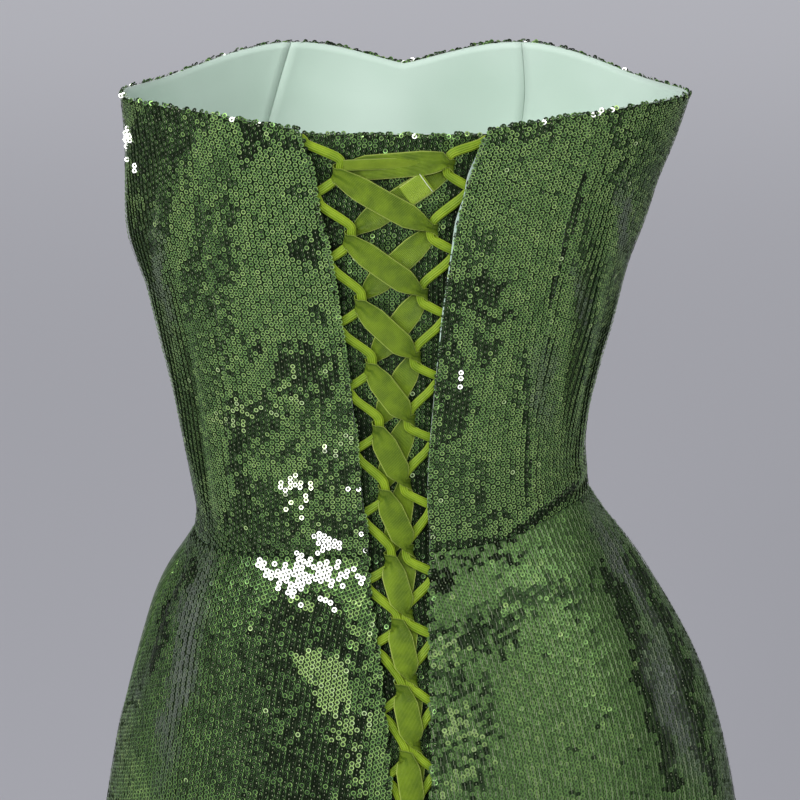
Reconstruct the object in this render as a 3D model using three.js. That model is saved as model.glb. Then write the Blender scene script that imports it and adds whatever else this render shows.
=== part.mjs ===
// Strapless evening gown with a laced corset back, in its worn, hollow shape.
// Millimetres, +Z up. The back faces -Y and +X is on the right seen from behind.
// The origin is the middle of the waist, where the gown is held.
import * as THREE from 'three';

const clothWall = 2;
const modestyWall = 1.5;
const seamGap = 0.3;
const hemHeight = -1050;

// Body sections, one row for each height above the waist seam: the ring's centre and half width
// across the back, its tilt with the right side up, and its depth to the back and to the front.
const bodiceSections = [
  { height: 0, centre: 0, half: 119.5, tilt: 6.25, back: 84, front: 92 },
  { height: 12, centre: 0, half: 117.8, tilt: 5.9, back: 84, front: 91 },
  { height: 30, centre: -2, half: 118.2, tilt: 5.4, back: 84.5, front: 92 },
  { height: 60, centre: -3.5, half: 122, tilt: 4.6, back: 85.5, front: 94 },
  { height: 90, centre: -3, half: 127.5, tilt: 3.8, back: 87, front: 97 },
  { height: 120, centre: -2.5, half: 135, tilt: 3, back: 88.5, front: 101 },
  { height: 150, centre: -2.5, half: 142, tilt: 2.2, back: 90, front: 105 },
  { height: 180, centre: -2, half: 151.5, tilt: 1.4, back: 91, front: 108 },
  { height: 205, centre: 0.5, half: 156, tilt: 0.7, back: 91.5, front: 110 },
  { height: 230, centre: 5, half: 160.5, tilt: 0, back: 92, front: 111 },
  { height: 270, centre: 9.5, half: 168.5, tilt: 0, back: 92, front: 112 },
];
const skirtSections = [
  { height: -1050, centre: 16, half: 300, tilt: 0, back: 245, front: 240 },
  { height: -750, centre: 17, half: 266, tilt: 0, back: 206, front: 204 },
  { height: -500, centre: 19, half: 238, tilt: 0, back: 172, front: 172 },
  { height: -300, centre: 19, half: 212, tilt: 0, back: 142, front: 144 },
  { height: -190, centre: 18, half: 194, tilt: 0, back: 125, front: 127 },
  { height: -140, centre: 16, half: 184, tilt: 1.6, back: 117, front: 119 },
  { height: -105, centre: 13, half: 174, tilt: 2.8, back: 110, front: 113 },
  { height: -75, centre: 8.5, half: 162, tilt: 3.8, back: 103, front: 107 },
  { height: -50, centre: 4, half: 150, tilt: 4.6, back: 97, front: 102 },
  { height: -30, centre: 1.6, half: 138.5, tilt: 5.3, back: 92, front: 98 },
  { height: -15, centre: 0.3, half: 128.5, tilt: 5.8, back: 88, front: 95 },
  { height: 0, centre: 0, half: 119.5, tilt: 6.25, back: 84, front: 92 },
];
const backSquareness = 2.4;
const frontSquareness = 2.2;

// Cups and folds stand out from the sections, or in where out is negative. Angles run from the
// middle of the back, to the right where positive. drift turns a fold for each 100 mm down.
const bodiceShaping = [
  { angle: 146, drift: 0, width: 19, out: 21, start: 80, full: 182, fade: 200, end: 330 },
  { angle: -146, drift: 0, width: 19, out: 21, start: 80, full: 182, fade: 200, end: 330 },
];
const skirtFolds = [
  { angle: -104, drift: 0, width: 8, out: 4, start: -2, full: -40, fade: -80, end: -190 },
  { angle: -85, drift: 0, width: 5, out: -12, start: -2, full: -32, fade: -62, end: -135 },
  { angle: 86, drift: -9, width: 5, out: 4, start: -6, full: -45, fade: -170, end: -420 },
  { angle: 72, drift: -6, width: 4.5, out: -2.5, start: -6, full: -45, fade: -150, end: -360 },
  { angle: 170, drift: 1, width: 8, out: 17, start: -260, full: -980, fade: -1100, end: -1200 },
  { angle: 131, drift: 0, width: 8, out: 24, start: -220, full: -960, fade: -1100, end: -1200 },
  { angle: 97, drift: 0, width: 7, out: 19, start: -300, full: -940, fade: -1100, end: -1200 },
  { angle: 60, drift: 0, width: 8, out: 22, start: -270, full: -980, fade: -1100, end: -1200 },
  { angle: 24, drift: 0, width: 7, out: 20, start: -330, full: -950, fade: -1100, end: -1200 },
  { angle: -16, drift: 0, width: 8, out: 23, start: -300, full: -990, fade: -1100, end: -1200 },
  { angle: -51, drift: 0, width: 7, out: 18, start: -250, full: -930, fade: -1100, end: -1200 },
  { angle: -88, drift: 0, width: 8, out: 24, start: -280, full: -980, fade: -1100, end: -1200 },
  { angle: -127, drift: 0, width: 8, out: 20, start: -240, full: -960, fade: -1100, end: -1200 },
  { angle: -161, drift: 0, width: 7, out: 22, start: -300, full: -970, fade: -1100, end: -1200 },
];

// Top edge and waist seam, one row for each angle round the body. The seam's rise fades out above
// and below it.
const seamReach = 60;
const topEdge = [
  { angle: -180, height: 250 },
  { angle: -148, height: 264 },
  { angle: -112, height: 251 },
  { angle: -86, height: 256 },
  { angle: -61, height: 257.5 },
  { angle: -34, height: 250.5 },
  { angle: 30, height: 251.5 },
  { angle: 55, height: 258 },
  { angle: 72, height: 259.5 },
  { angle: 112, height: 251 },
  { angle: 148, height: 264 },
  { angle: 180, height: 250 },
];
const waistSeam = [
  { angle: -180, rise: 0 },
  { angle: -70, rise: 1.5 },
  { angle: -30, rise: 0 },
  { angle: 0, rise: -3 },
  { angle: 42, rise: -4 },
  { angle: 66, rise: 3.5 },
  { angle: 90, rise: 0 },
  { angle: 180, rise: 0 },
];

// Lengthwise seams: the angle at the top edge, half way down and at the waist.
const seams = {
  frontLeft: { top: -148, middle: -146, waist: -152 },
  sideLeft: { top: -92, middle: -92, waist: -92 },
  backLeft: { top: -60.5, middle: -54, waist: -60.5 },
  backRight: { top: 53.5, middle: 53, waist: 52 },
  sideRight: { top: 92, middle: 92, waist: 92 },
  frontRight: { top: 148, middle: 146, waist: 152 },
};

// The open back, one row for each height: its two edges from the middle of the section.
const openingEdges = [
  { height: -228, left: -13.4, right: -11 },
  { height: -205, left: -17.6, right: -5 },
  { height: -180, left: -18.6, right: 1 },
  { height: -142, left: -16.5, right: 7 },
  { height: -92, left: -15, right: 11.5 },
  { height: -52, left: -12.5, right: 18 },
  { height: -14, left: -13.4, right: 22.3 },
  { height: 23, left: -14.2, right: 22.6 },
  { height: 62, left: -16, right: 25.8 },
  { height: 105, left: -21, right: 28.4 },
  { height: 143, left: -27, right: 32 },
  { height: 176, left: -32, right: 36 },
  { height: 210, left: -42, right: 39.2 },
  { height: 228, left: -49, right: 41 },
  { height: 270, left: -67, right: 52 },
];
const openingEnd = -228;

// Modesty panel behind the lacing.
const modestyTop = 246.5;
const modestyEnd = -240;
const modestyMargin = 24;
const modestyDrop = 8;
const modestyClear = 0.75;
const modestyRise = { from: 0.45, to: 0.95 };

// Lacing loops, rolled from bias strip and sewn under both edges. The legs' places are measured
// under the edge, and up from the height where the leg meets it.
const loopCount = 12;
const loopPitch = 38;
const firstTip = { left: 226, right: 229 };
const loopReach = 13.5;
const firstReach = { left: 14.5, right: 14 };
const loopRise = 21;
const loopFall = 11;
const loopWidth = 4.2;
const loopThickness = 2.7;
const loopLevel = -3.9;
const loopSides = 6;
const loopMeetingGap = 0.8;
const tipRadius = 5;
const tipTurns = [90, 45, 0, -45, -90];
const upperLeg = [
  { under: 1.6, up: 1 },
  { under: -1.6, up: -3 },
];
const lowerLeg = [
  { under: -1, up: 0 },
  { under: 3.2, up: -1.2 },
  { under: 4.4, up: -3.3 },
];

// Lacing ribbon, in two strands from a bar across the top. A stretch leaves the tip's fold a few
// millimetres on, and lies flat from a share of its run to the same share before the next tip.
const ribbonWidth = 14.5;
const ribbonPinch = 2.2;
const ribbonWall = 1.2;
const ribbonClear = 0.75;
const ribbonSides = 4;
const ribbonMargin = 5;
const stretch = { leavesTip: 4, leavesBefore: 0.16, flatFrom: 0.36 };
const wrapDrop = 0.3;

// The knot lies over the last loops, and its two free ends hang down over the skirt.
const knot = { side: -11.3, level: -206.5, out: 1.6, width: 9.5, height: 8.6, thickness: 5.4 };
const tails = {
  left: { length: 118, splay: -15 },
  right: { length: 96, splay: 12 },
};
const tailWidth = { knot: 3.6, end: 12 };
const tailStart = { apart: 2.6, below: 1.2, out: 1.3 };
const tailBend = 1.5;
const tailSteps = 9;

const materials = {
  sequins: { color: 0x3f6b2c, roughness: 0.35, metalness: 0.5 },
  skirt: { color: 0x3a6629, roughness: 0.35, metalness: 0.5 },
  modesty: { color: 0x2c4c1e, roughness: 0.4, metalness: 0.4 },
  ribbon: { color: 0x93ad35, roughness: 0.6, metalness: 0 },
  loops: { color: 0x86a42c, roughness: 0.6, metalness: 0 },
};

const group = new THREE.Group();

function addPiece(name, geometry, finish) {
  const mesh = new THREE.Mesh(geometry, new THREE.MeshStandardMaterial(materials[finish]));
  mesh.name = name;
  group.add(mesh);
}

// A smooth curve through a table's rows gives every other column at a height or angle.
function curveThrough(rows, along, columns) {
  const places = rows.map((row) => row[along]);
  const values = rows.flatMap((row) => columns.map((column) => row[column]));
  const curve = new THREE.CubicInterpolant(places, values, columns.length);
  return (place) => {
    const result = curve.evaluate(THREE.MathUtils.clamp(place, places[0], places.at(-1)));
    return Object.fromEntries(columns.map((column, i) => [column, result[i]]));
  };
}

const sectionColumns = ['centre', 'half', 'tilt', 'back', 'front'];
const bodiceAt = curveThrough(bodiceSections, 'height', sectionColumns);
const skirtAt = curveThrough(skirtSections, 'height', sectionColumns);
const topAt = curveThrough(topEdge, 'angle', ['height']);
const waistAt = curveThrough(waistSeam, 'angle', ['rise']);
const openingAt = curveThrough(openingEdges, 'height', ['left', 'right']);

// How much of a fold there is at a height: none at its start, all of it between full and fade.
function foldShare(fold, height) {
  const grows = THREE.MathUtils.smoothstep(
    Math.abs(height - fold.start), 0, Math.abs(fold.full - fold.start));
  const fades = THREE.MathUtils.smoothstep(
    Math.abs(height - fold.end), 0, Math.abs(fold.fade - fold.end));
  const begun = (height - fold.start) * (fold.end - fold.start) > 0;
  const ended = (height - fold.end) * (fold.end - fold.start) > 0;
  return begun && !ended ? grows * fades : 0;
}

function foldsAt(folds, angle, height) {
  let out = 0;
  for (const fold of folds) {
    const middle = fold.angle - (fold.drift * height) / 100;
    const away = ((angle - middle + 540) % 360) - 180;
    out += fold.out * foldShare(fold, height) * Math.exp(-0.5 * (away / fold.width) ** 2);
  }
  return out;
}

// An angle past the middle of the front, as the tables give it.
function signedAngle(angle) {
  return angle > 180 ? angle - 360 : angle;
}

// The gown's outer surface at an angle and at a level above the waist seam, which rises and dips
// a little round the body.
function onBody(isSkirt, angle, level) {
  const section = isSkirt ? skirtAt(level) : bodiceAt(level);
  const turn = THREE.MathUtils.degToRad(angle);
  const across = Math.abs(Math.sin(turn)) / section.half;
  const inBack = Math.cos(turn) > 0;
  const deep = Math.abs(Math.cos(turn)) / (inBack ? section.back : section.front);
  const power = inBack ? backSquareness : frontSquareness;
  const folds = isSkirt ? skirtFolds : bodiceShaping;
  const radius = (across ** power + deep ** power) ** (-1 / power) + foldsAt(folds, angle, level);
  const side = radius * Math.sin(turn);
  const tilt = THREE.MathUtils.degToRad(section.tilt);
  const nearSeam = 1 - THREE.MathUtils.smoothstep(Math.abs(level), 0, seamReach);
  const height = level + waistAt(signedAngle(angle)).rise * nearSeam;
  return new THREE.Vector3(
    section.centre + side * Math.cos(tilt), -radius * Math.cos(turn), height + side * Math.sin(tilt));
}

// The same point moved out along the surface's normal, or in where out is negative.
function offBody(isSkirt, angle, level, out) {
  const step = 0.5;
  const point = onBody(isSkirt, angle, level);
  const around = onBody(isSkirt, angle + step, level).sub(onBody(isSkirt, angle - step, level));
  const along = onBody(isSkirt, angle, level + step).sub(onBody(isSkirt, angle, level - step));
  return point.addScaledVector(around.cross(along).normalize(), out);
}

// The angle at which the back lies a distance to the side of the section's middle.
function backAngle(side, height) {
  const section = height < 0 ? skirtAt(height) : bodiceAt(height);
  const share = Math.abs(side) / section.half;
  const depth = section.back * (1 - share ** backSquareness) ** (1 / backSquareness);
  return THREE.MathUtils.radToDeg(Math.atan2(side, depth));
}

// A cloth wall: outer points on a grid, inner points under them, and the four edges closed.
function clothPanel(columns, rows, pointAt, wall) {
  const positions = [];
  const index = [];
  const layers = [0, -wall];
  for (const depth of layers) {
    for (let j = 0; j <= rows; j += 1) {
      for (let i = 0; i <= columns; i += 1) {
        positions.push(...pointAt(i / columns, j / rows, depth).toArray());
      }
    }
  }
  const layerSize = (columns + 1) * (rows + 1);
  const at = (layer, i, j) => layer * layerSize + j * (columns + 1) + i;
  const quad = (a, b, c, d) => index.push(a, b, c, a, c, d);
  for (let j = 0; j < rows; j += 1) {
    for (let i = 0; i < columns; i += 1) {
      quad(at(0, i, j), at(0, i + 1, j), at(0, i + 1, j + 1), at(0, i, j + 1));
      quad(at(1, i, j), at(1, i, j + 1), at(1, i + 1, j + 1), at(1, i + 1, j));
    }
  }
  for (let i = 0; i < columns; i += 1) {
    quad(at(1, i, 0), at(1, i + 1, 0), at(0, i + 1, 0), at(0, i, 0));
    quad(at(0, i, rows), at(0, i + 1, rows), at(1, i + 1, rows), at(1, i, rows));
  }
  for (let j = 0; j < rows; j += 1) {
    quad(at(0, 0, j), at(0, 0, j + 1), at(1, 0, j + 1), at(1, 0, j));
    quad(at(1, columns, j), at(1, columns, j + 1), at(0, columns, j + 1), at(0, columns, j));
  }
  const geometry = new THREE.BufferGeometry();
  geometry.setAttribute('position', new THREE.Float32BufferAttribute(positions, 3));
  geometry.setIndex(index);
  return geometry;
}

// A seam's angle, on a curve through its three given angles.
function seamAngle(seam, up) {
  const low = THREE.MathUtils.lerp(seam.waist, seam.middle, up * 2);
  const high = THREE.MathUtils.lerp(seam.middle, seam.top, up * 2 - 1);
  return THREE.MathUtils.lerp(low, high, up);
}

// Bodice panels, each between two seams or beside the opening.
const bodiceTopHeight = 258;
const halfGap = seamGap / 2;

function sideGap(angle, height, direction) {
  const section = height < 0 ? skirtAt(height) : bodiceAt(height);
  return angle + (direction * THREE.MathUtils.radToDeg(halfGap)) / section.back;
}

const atSeam = (seam, turn = 0) => (up) => seamAngle(seam, up) + turn;
const atOpening = (side) => (up) => {
  const height = up * bodiceTopHeight;
  return backAngle(openingAt(height)[side], height);
};
const bodiceRows = 11;
const bodicePanels = [
  { name: 'back_left', left: atSeam(seams.backLeft), right: atOpening('left'), columns: 7 },
  { name: 'back_right', left: atOpening('right'), right: atSeam(seams.backRight), columns: 6 },
  { name: 'side_left', left: atSeam(seams.sideLeft), right: atSeam(seams.backLeft), columns: 6 },
  { name: 'side_right', left: atSeam(seams.backRight), right: atSeam(seams.sideRight), columns: 7 },
  { name: 'side_front_left', left: atSeam(seams.frontLeft), right: atSeam(seams.sideLeft), columns: 9 },
  { name: 'side_front_right', left: atSeam(seams.sideRight), right: atSeam(seams.frontRight), columns: 9 },
  { name: 'centre_front', left: atSeam(seams.frontRight), right: atSeam(seams.frontLeft, 360), columns: 8 },
];

for (const { name, left, right, columns } of bodicePanels) {
  const pointAt = (across, up, depth) => {
    const angle = THREE.MathUtils.lerp(sideGap(left(up), 0, 1), sideGap(right(up), 0, -1), across);
    const level = THREE.MathUtils.lerp(halfGap, topAt(signedAngle(angle)).height, up);
    return offBody(false, angle, level, depth);
  };
  addPiece(`bodice_${name}`, clothPanel(columns, bodiceRows, pointAt, clothWall), 'sequins');
}

// Skirt panels hang from the waist seam to the hem, with closer rows beside the opening.
const openingRows = 7;
const lowerRows = 8;
const skirtRows = openingRows + lowerRows;
const rowCrowding = 1.3;

function skirtLevel(row) {
  if (row <= openingRows) {
    return openingEnd * (row / openingRows) ** rowCrowding;
  }
  return THREE.MathUtils.lerp(openingEnd, hemHeight, (row - openingRows) / lowerRows);
}

// Below the opening's end the two back panels meet in the centre seam.
const centreSeam = backAngle((openingAt(openingEnd).left + openingAt(openingEnd).right) / 2, openingEnd);
const skirtEdge = (side) => (level) =>
  level > openingEnd ? backAngle(openingAt(level)[side], level) : centreSeam;
const skirtSeam = (seam, turn = 0) => () => seam.waist + turn;
const skirtPanels = [
  { name: 'back_left', left: skirtSeam(seams.sideLeft), right: skirtEdge('left'), columns: 22 },
  { name: 'back_right', left: skirtEdge('right'), right: skirtSeam(seams.sideRight), columns: 22 },
  { name: 'front', left: skirtSeam(seams.sideRight), right: skirtSeam(seams.sideLeft, 360), columns: 40 },
];

for (const { name, left, right, columns } of skirtPanels) {
  const pointAt = (across, up, depth) => {
    const level = skirtLevel((1 - up) * skirtRows);
    const angle = THREE.MathUtils.lerp(
      sideGap(left(level), level, 1), sideGap(right(level), level, -1), across);
    return offBody(true, angle, Math.min(level, -halfGap), depth);
  };
  addPiece(`skirt_${name}`, clothPanel(columns, skirtRows, pointAt, clothWall), 'skirt');
}

// A point over the open back, at a distance to the side of the section's middle.
function overBack(side, height, out) {
  return offBody(height < 0, backAngle(side, height), height, out);
}

// The modesty panel dips behind the lacing and comes up against the back panels at its sides.
// Half its rows lie above the waist seam and half below.
const modestyGrid = { columns: 10, rows: 24 };
const modestyAt = (across, up, depth) => {
  const height = up < 0.5 ? modestyEnd * (1 - up * 2) : modestyTop * (up * 2 - 1);
  const edges = openingAt(height);
  const side = THREE.MathUtils.lerp(edges.left - modestyMargin, edges.right + modestyMargin, across);
  const beyond = Math.max(edges.left - side, side - edges.right, 0) / modestyMargin;
  const rise = THREE.MathUtils.smoothstep(beyond, modestyRise.from, modestyRise.to);
  const under = THREE.MathUtils.lerp(modestyDrop, clothWall + modestyClear, rise);
  return overBack(side, height, depth - under);
};
addPiece(
  'modesty_panel', clothPanel(modestyGrid.columns, modestyGrid.rows, modestyAt, modestyWall), 'modesty');

// Sweeps a flat or round section along a path. Each station gives its point, the directions of the
// section's width and thickness, and the two sizes.
function sweep(stations, sides) {
  const positions = [];
  const index = [];
  const toCorner = sides === 4 ? Math.SQRT1_2 : 0.5;
  for (const { point, widthWay, thickWay, width, thickness } of stations) {
    for (let k = 0; k < sides; k += 1) {
      const turn = (2 * Math.PI * (k + 0.5)) / sides;
      const corner = point.clone();
      corner.addScaledVector(widthWay, width * toCorner * Math.cos(turn));
      corner.addScaledVector(thickWay, thickness * toCorner * Math.sin(turn));
      positions.push(...corner.toArray());
    }
  }
  const last = stations.length - 1;
  for (let j = 0; j < last; j += 1) {
    for (let k = 0; k < sides; k += 1) {
      const next = (k + 1) % sides;
      const [a, b] = [j * sides + k, j * sides + next];
      const [c, d] = [b + sides, a + sides];
      index.push(a, b, c, a, c, d);
    }
  }
  for (let k = 1; k < sides - 1; k += 1) {
    index.push(0, k + 1, k);
    index.push(last * sides, last * sides + k, last * sides + k + 1);
  }
  const geometry = new THREE.BufferGeometry();
  geometry.setAttribute('position', new THREE.Float32BufferAttribute(positions, 3));
  geometry.setIndex(index);
  return geometry;
}

// Where each loop's tip lies. hand is -1 on the left and 1 on the right.
const sideNames = { '-1': 'left', 1: 'right' };

function loopTip(hand, k) {
  const height = firstTip[sideNames[hand]] - k * loopPitch;
  const edges = openingAt(height);
  const room = (edges.right - edges.left - loopWidth - loopMeetingGap) / 2;
  const wanted = k === 0 ? firstReach[sideNames[hand]] : loopReach;
  const side = edges[sideNames[hand]] - hand * Math.min(wanted, room);
  return { side, height };
}

// One cord makes all the loops of a side: down the upper leg, round the tip, back up the lower leg,
// and on under the edge to the next.
function loopRoute(hand) {
  const places = [];
  const addLeg = (leg, meets) => {
    for (const { under, up } of leg) {
      const height = meets + up;
      places.push([openingAt(height)[sideNames[hand]] + hand * under, height, loopLevel]);
    }
  };
  for (let k = 0; k < loopCount; k += 1) {
    const tip = loopTip(hand, k);
    addLeg(upperLeg, tip.height + loopRise);
    for (const turn of tipTurns) {
      const around = THREE.MathUtils.degToRad(turn);
      const side = tip.side + hand * tipRadius * (1 - Math.cos(around));
      places.push([side, tip.height + tipRadius * Math.sin(around), loopLevel]);
    }
    addLeg(lowerLeg, tip.height - loopFall);
  }
  return places;
}

function directionsAt(side, height, out) {
  const point = overBack(side, height, out);
  return {
    point,
    sideWay: overBack(side + 1, height, out).sub(point).normalize(),
    upWay: overBack(side, height + 1, out).sub(point).normalize(),
    outWay: overBack(side, height, out + 1).sub(point).normalize(),
  };
}

function pathAlong(points, i) {
  const before = points[Math.max(i - 1, 0)];
  const after = points[Math.min(i + 1, points.length - 1)];
  return after.clone().sub(before).normalize();
}

for (const hand of [-1, 1]) {
  const places = loopRoute(hand);
  const points = places.map((place) => overBack(...place));
  const stations = places.map((place, i) => {
    const along = pathAlong(points, i);
    const widthWay = directionsAt(...place).outWay.cross(along).normalize();
    const thickWay = along.cross(widthWay).normalize();
    return { point: points[i], widthWay, thickWay, width: loopWidth, thickness: loopThickness };
  });
  addPiece(`lace_loops_${sideNames[hand]}`, sweep(stations, loopSides), 'loops');
}

// The ribbon goes under the rod of a loop's tip, round it and out over it, or the other way.
// Its width lies along the rod there, and across its run between the tips.
const wrapRadius = loopThickness / 2 + ribbonClear + ribbonWall / 2;
const wrapReach = loopWidth / 2 + ribbonClear + ribbonWall / 2;
const alongRod = new THREE.Vector2(0, -1);

function acrossRun(from, to) {
  const run = new THREE.Vector2(to[0] - from[0], to[1] - from[1]).normalize();
  const across = new THREE.Vector2(-run.y, run.x);
  return across.y > 0 ? across.negate() : across;
}

// The places round one tip. level is -1 where a stretch lies under and 1 where it lies over.
function wrapPlaces(hand, k, level) {
  const tip = loopTip(hand, k);
  return [-1, -0.5, 0, 0.5, 1].map((share) => {
    const turn = (share * Math.PI) / 2;
    const side = tip.side + hand * Math.cos(turn) * wrapReach;
    const height = tip.height - share * wrapDrop;
    const out = loopLevel - level * Math.sin(turn) * wrapRadius;
    return { place: [side, height, out], width: ribbonPinch };
  });
}

// The places between two tips, with the ribbon at its full width in the middle.
function stretchPlaces(from, to, lean) {
  const run = new THREE.Vector3(...from).distanceTo(new THREE.Vector3(...to));
  const nearTip = Math.min(stretch.leavesBefore, stretch.leavesTip / run);
  return [nearTip, stretch.flatFrom, 1 - stretch.flatFrom, 1 - nearTip].map((share) => {
    const place = from.map((value, i) => THREE.MathUtils.lerp(value, to[i], share));
    const edges = openingAt(place[1]);
    const full = Math.min(ribbonWidth, edges.right - edges.left - ribbonMargin);
    const swell = Math.sin(((Math.PI / 2) * Math.min(share, 1 - share)) / stretch.flatFrom);
    return { place, lean, width: THREE.MathUtils.lerp(ribbonPinch, full, swell) };
  });
}

// The lace is one ribbon: up one strand, across the bar at the top and down the other strand.
// Stretches from left to right lie over, and those from right to left under.
function laceStations() {
  const tips = [];
  for (let k = loopCount - 1; k >= 0; k -= 1) {
    tips.push({ hand: k % 2 === 0 ? 1 : -1, k, rising: true });
  }
  for (let k = 0; k < loopCount; k += 1) {
    tips.push({ hand: k % 2 === 0 ? -1 : 1, k, rising: false });
  }
  const wraps = tips.map(({ hand, k, rising }) => {
    const places = wrapPlaces(hand, k, hand);
    return rising ? places.reverse() : places;
  });
  const stations = [];
  wraps.forEach((wrap, n) => {
    const last = wraps[n - 1]?.at(-1);
    const next = wraps[n + 1]?.[0];
    const into = last ? acrossRun(last.place, wrap[0].place) : alongRod;
    const outOf = next ? acrossRun(wrap.at(-1).place, next.place) : alongRod;
    const middle = (wrap.length - 1) / 2;
    wrap.forEach((stop, i) => {
      const turned = (i - middle) / middle;
      const lean = alongRod.clone().lerp(turned < 0 ? into : outOf, Math.abs(turned) / 2);
      stations.push({ ...stop, lean });
    });
    if (next) {
      stations.push(...stretchPlaces(wrap.at(-1).place, next.place, outOf));
    }
  });
  return stations;
}

function ribbonSweep(stops) {
  const points = stops.map((stop) => overBack(...stop.place));
  let lastWay = null;
  const stations = stops.map((stop, i) => {
    const along = pathAlong(points, i);
    const { sideWay, upWay } = directionsAt(...stop.place);
    const widthWay = sideWay.multiplyScalar(stop.lean.x).addScaledVector(upWay, stop.lean.y);
    widthWay.addScaledVector(along, -widthWay.dot(along)).normalize();
    if (lastWay && widthWay.dot(lastWay) < 0) {
      widthWay.negate();
    }
    lastWay = widthWay;
    const thickWay = along.clone().cross(widthWay).normalize();
    return { point: points[i], widthWay, thickWay, width: stop.width, thickness: ribbonWall };
  });
  return sweep(stations, ribbonSides);
}
addPiece('lacing_ribbon', ribbonSweep(laceStations()), 'ribbon');

// A ball of the knot's size stands in for its tight turns.
const knotFaces = { around: 14, up: 9 };
const knotCentre = directionsAt(knot.side, knot.level, knot.out);
const roundKnot = new THREE.SphereGeometry(0.5, knotFaces.around, knotFaces.up);
roundKnot.scale(knot.width, knot.height, knot.thickness);
const knotPlace = new THREE.Matrix4().makeBasis(
  knotCentre.sideWay, knotCentre.upWay, knotCentre.sideWay.clone().cross(knotCentre.upWay));
knotPlace.setPosition(knotCentre.point);
roundKnot.applyMatrix4(knotPlace);
addPiece('lace_knot', roundKnot, 'ribbon');

for (const [name, tail] of Object.entries(tails)) {
  const stops = [];
  const start = knot.side + Math.sign(tail.splay) * tailStart.apart;
  const top = knot.level - knot.height / 2 - tailStart.below;
  for (let j = 0; j <= tailSteps; j += 1) {
    const share = j / tailSteps;
    const side = start + tail.splay * Math.sin(share * tailBend);
    const opens = THREE.MathUtils.smoothstep(share, 0, 0.5);
    const width = THREE.MathUtils.lerp(tailWidth.knot, tailWidth.end, opens);
    const place = [side, top - share * tail.length, tailStart.out];
    stops.push({ place, lean: new THREE.Vector2(1, 0), width });
  }
  addPiece(`lace_end_${name}`, ribbonSweep(stops), 'ribbon');
}

export default group;
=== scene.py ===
import math
from functools import partial

import bmesh
import bpy
import numpy as np
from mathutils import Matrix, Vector


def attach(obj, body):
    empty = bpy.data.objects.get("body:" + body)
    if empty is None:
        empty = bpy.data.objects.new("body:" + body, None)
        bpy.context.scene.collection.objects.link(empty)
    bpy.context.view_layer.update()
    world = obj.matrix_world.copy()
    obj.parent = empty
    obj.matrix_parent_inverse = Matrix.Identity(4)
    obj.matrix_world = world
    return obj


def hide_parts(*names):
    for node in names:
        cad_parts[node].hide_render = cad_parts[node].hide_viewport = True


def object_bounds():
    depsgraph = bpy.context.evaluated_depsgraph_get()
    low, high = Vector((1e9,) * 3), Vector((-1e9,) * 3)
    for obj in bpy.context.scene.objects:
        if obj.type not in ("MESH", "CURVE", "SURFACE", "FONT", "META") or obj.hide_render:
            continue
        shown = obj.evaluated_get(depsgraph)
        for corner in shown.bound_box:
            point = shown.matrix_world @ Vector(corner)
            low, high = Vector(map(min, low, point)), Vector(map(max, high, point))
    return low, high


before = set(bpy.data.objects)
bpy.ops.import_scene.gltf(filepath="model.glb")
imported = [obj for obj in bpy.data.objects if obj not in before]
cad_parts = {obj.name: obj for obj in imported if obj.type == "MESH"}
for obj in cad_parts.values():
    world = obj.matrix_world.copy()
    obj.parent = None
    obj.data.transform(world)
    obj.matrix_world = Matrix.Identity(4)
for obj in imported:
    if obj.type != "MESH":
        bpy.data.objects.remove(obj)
cad_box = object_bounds()

# The camera stands behind the gown at chest height and looks down along the laced back.
# It has the photograph's angle and its long lens, 3500 pixels on a frame of 800.
scene = bpy.context.scene
focal_pixels = 3500
frame_pixels = 800
camera_place = Vector((0.005, -2.01865, 0.64584))
camera_pitch = 16
lens = bpy.data.cameras.new("back_view")
lens.sensor_width = 36
lens.lens = lens.sensor_width * focal_pixels / frame_pixels
camera = bpy.data.objects.new("back_view", lens)
camera.location = camera_place
camera.rotation_euler = (math.radians(90 - camera_pitch), 0, 0)
scene.collection.objects.link(camera)
scene.camera = camera

# The studio is a pale grey floor that runs out of sight, under a soft grey sky. A small lamp lights
# the sequins turned to it, whose sparks are also painted white in their colour, wide softboxes light
# the cloth from both sides and in front, and one lights the ground far behind.
scene.view_settings.view_transform = "Standard"
sky = bpy.data.worlds.new("studio")
sky.use_nodes = True
sky.node_tree.nodes["Background"].inputs["Color"].default_value = (0.80, 0.81, 0.86, 1)
sky.node_tree.nodes["Background"].inputs["Strength"].default_value = 0.33
scene.world = sky


def softbox(name, place, aim, width, height, watts):
    light = bpy.data.lights.new(name, "AREA")
    light.shape = "RECTANGLE"
    light.size = width
    light.size_y = height
    light.energy = watts
    lamp = bpy.data.objects.new(name, light)
    lamp.location = place
    lamp.rotation_euler = (Vector(aim) - Vector(place)).to_track_quat("-Z", "Y").to_euler()
    scene.collection.objects.link(lamp)


lamp_place = Vector((-0.75, -2.9, 1.35))
softbox("spark", lamp_place, (0, 0, 0), 0.35, 0.35, 32)
softbox("left_box", (-2.4, -2.0, 1.6), (0, 0, 0), 1.5, 1.8, 66)
softbox("right_box", (2.2, -2.6, 1.6), (0, 0, 0), 2.6, 2.4, 42)
softbox("front_box", (0.4, 3.0, 2.4), (0, 0, 0.2), 2.4, 1.4, 12)
softbox("backdrop_box", (0, 8.5, 4.5), (0, 8.5, 0), 11, 7, 115)

hem_over_floor = 0.004
floor_radius = 40
floor_segments = 96
bm = bmesh.new()
bmesh.ops.create_circle(bm, cap_ends=True, radius=floor_radius, segments=floor_segments)
bmesh.ops.translate(bm, verts=bm.verts, vec=(0, 0, cad_box[0][2] - hem_over_floor))
floor_mesh = bpy.data.meshes.new("floor")
bm.to_mesh(floor_mesh)
bm.free()
floor = bpy.data.objects.new("floor", floor_mesh)
scene.collection.objects.link(floor)


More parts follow.
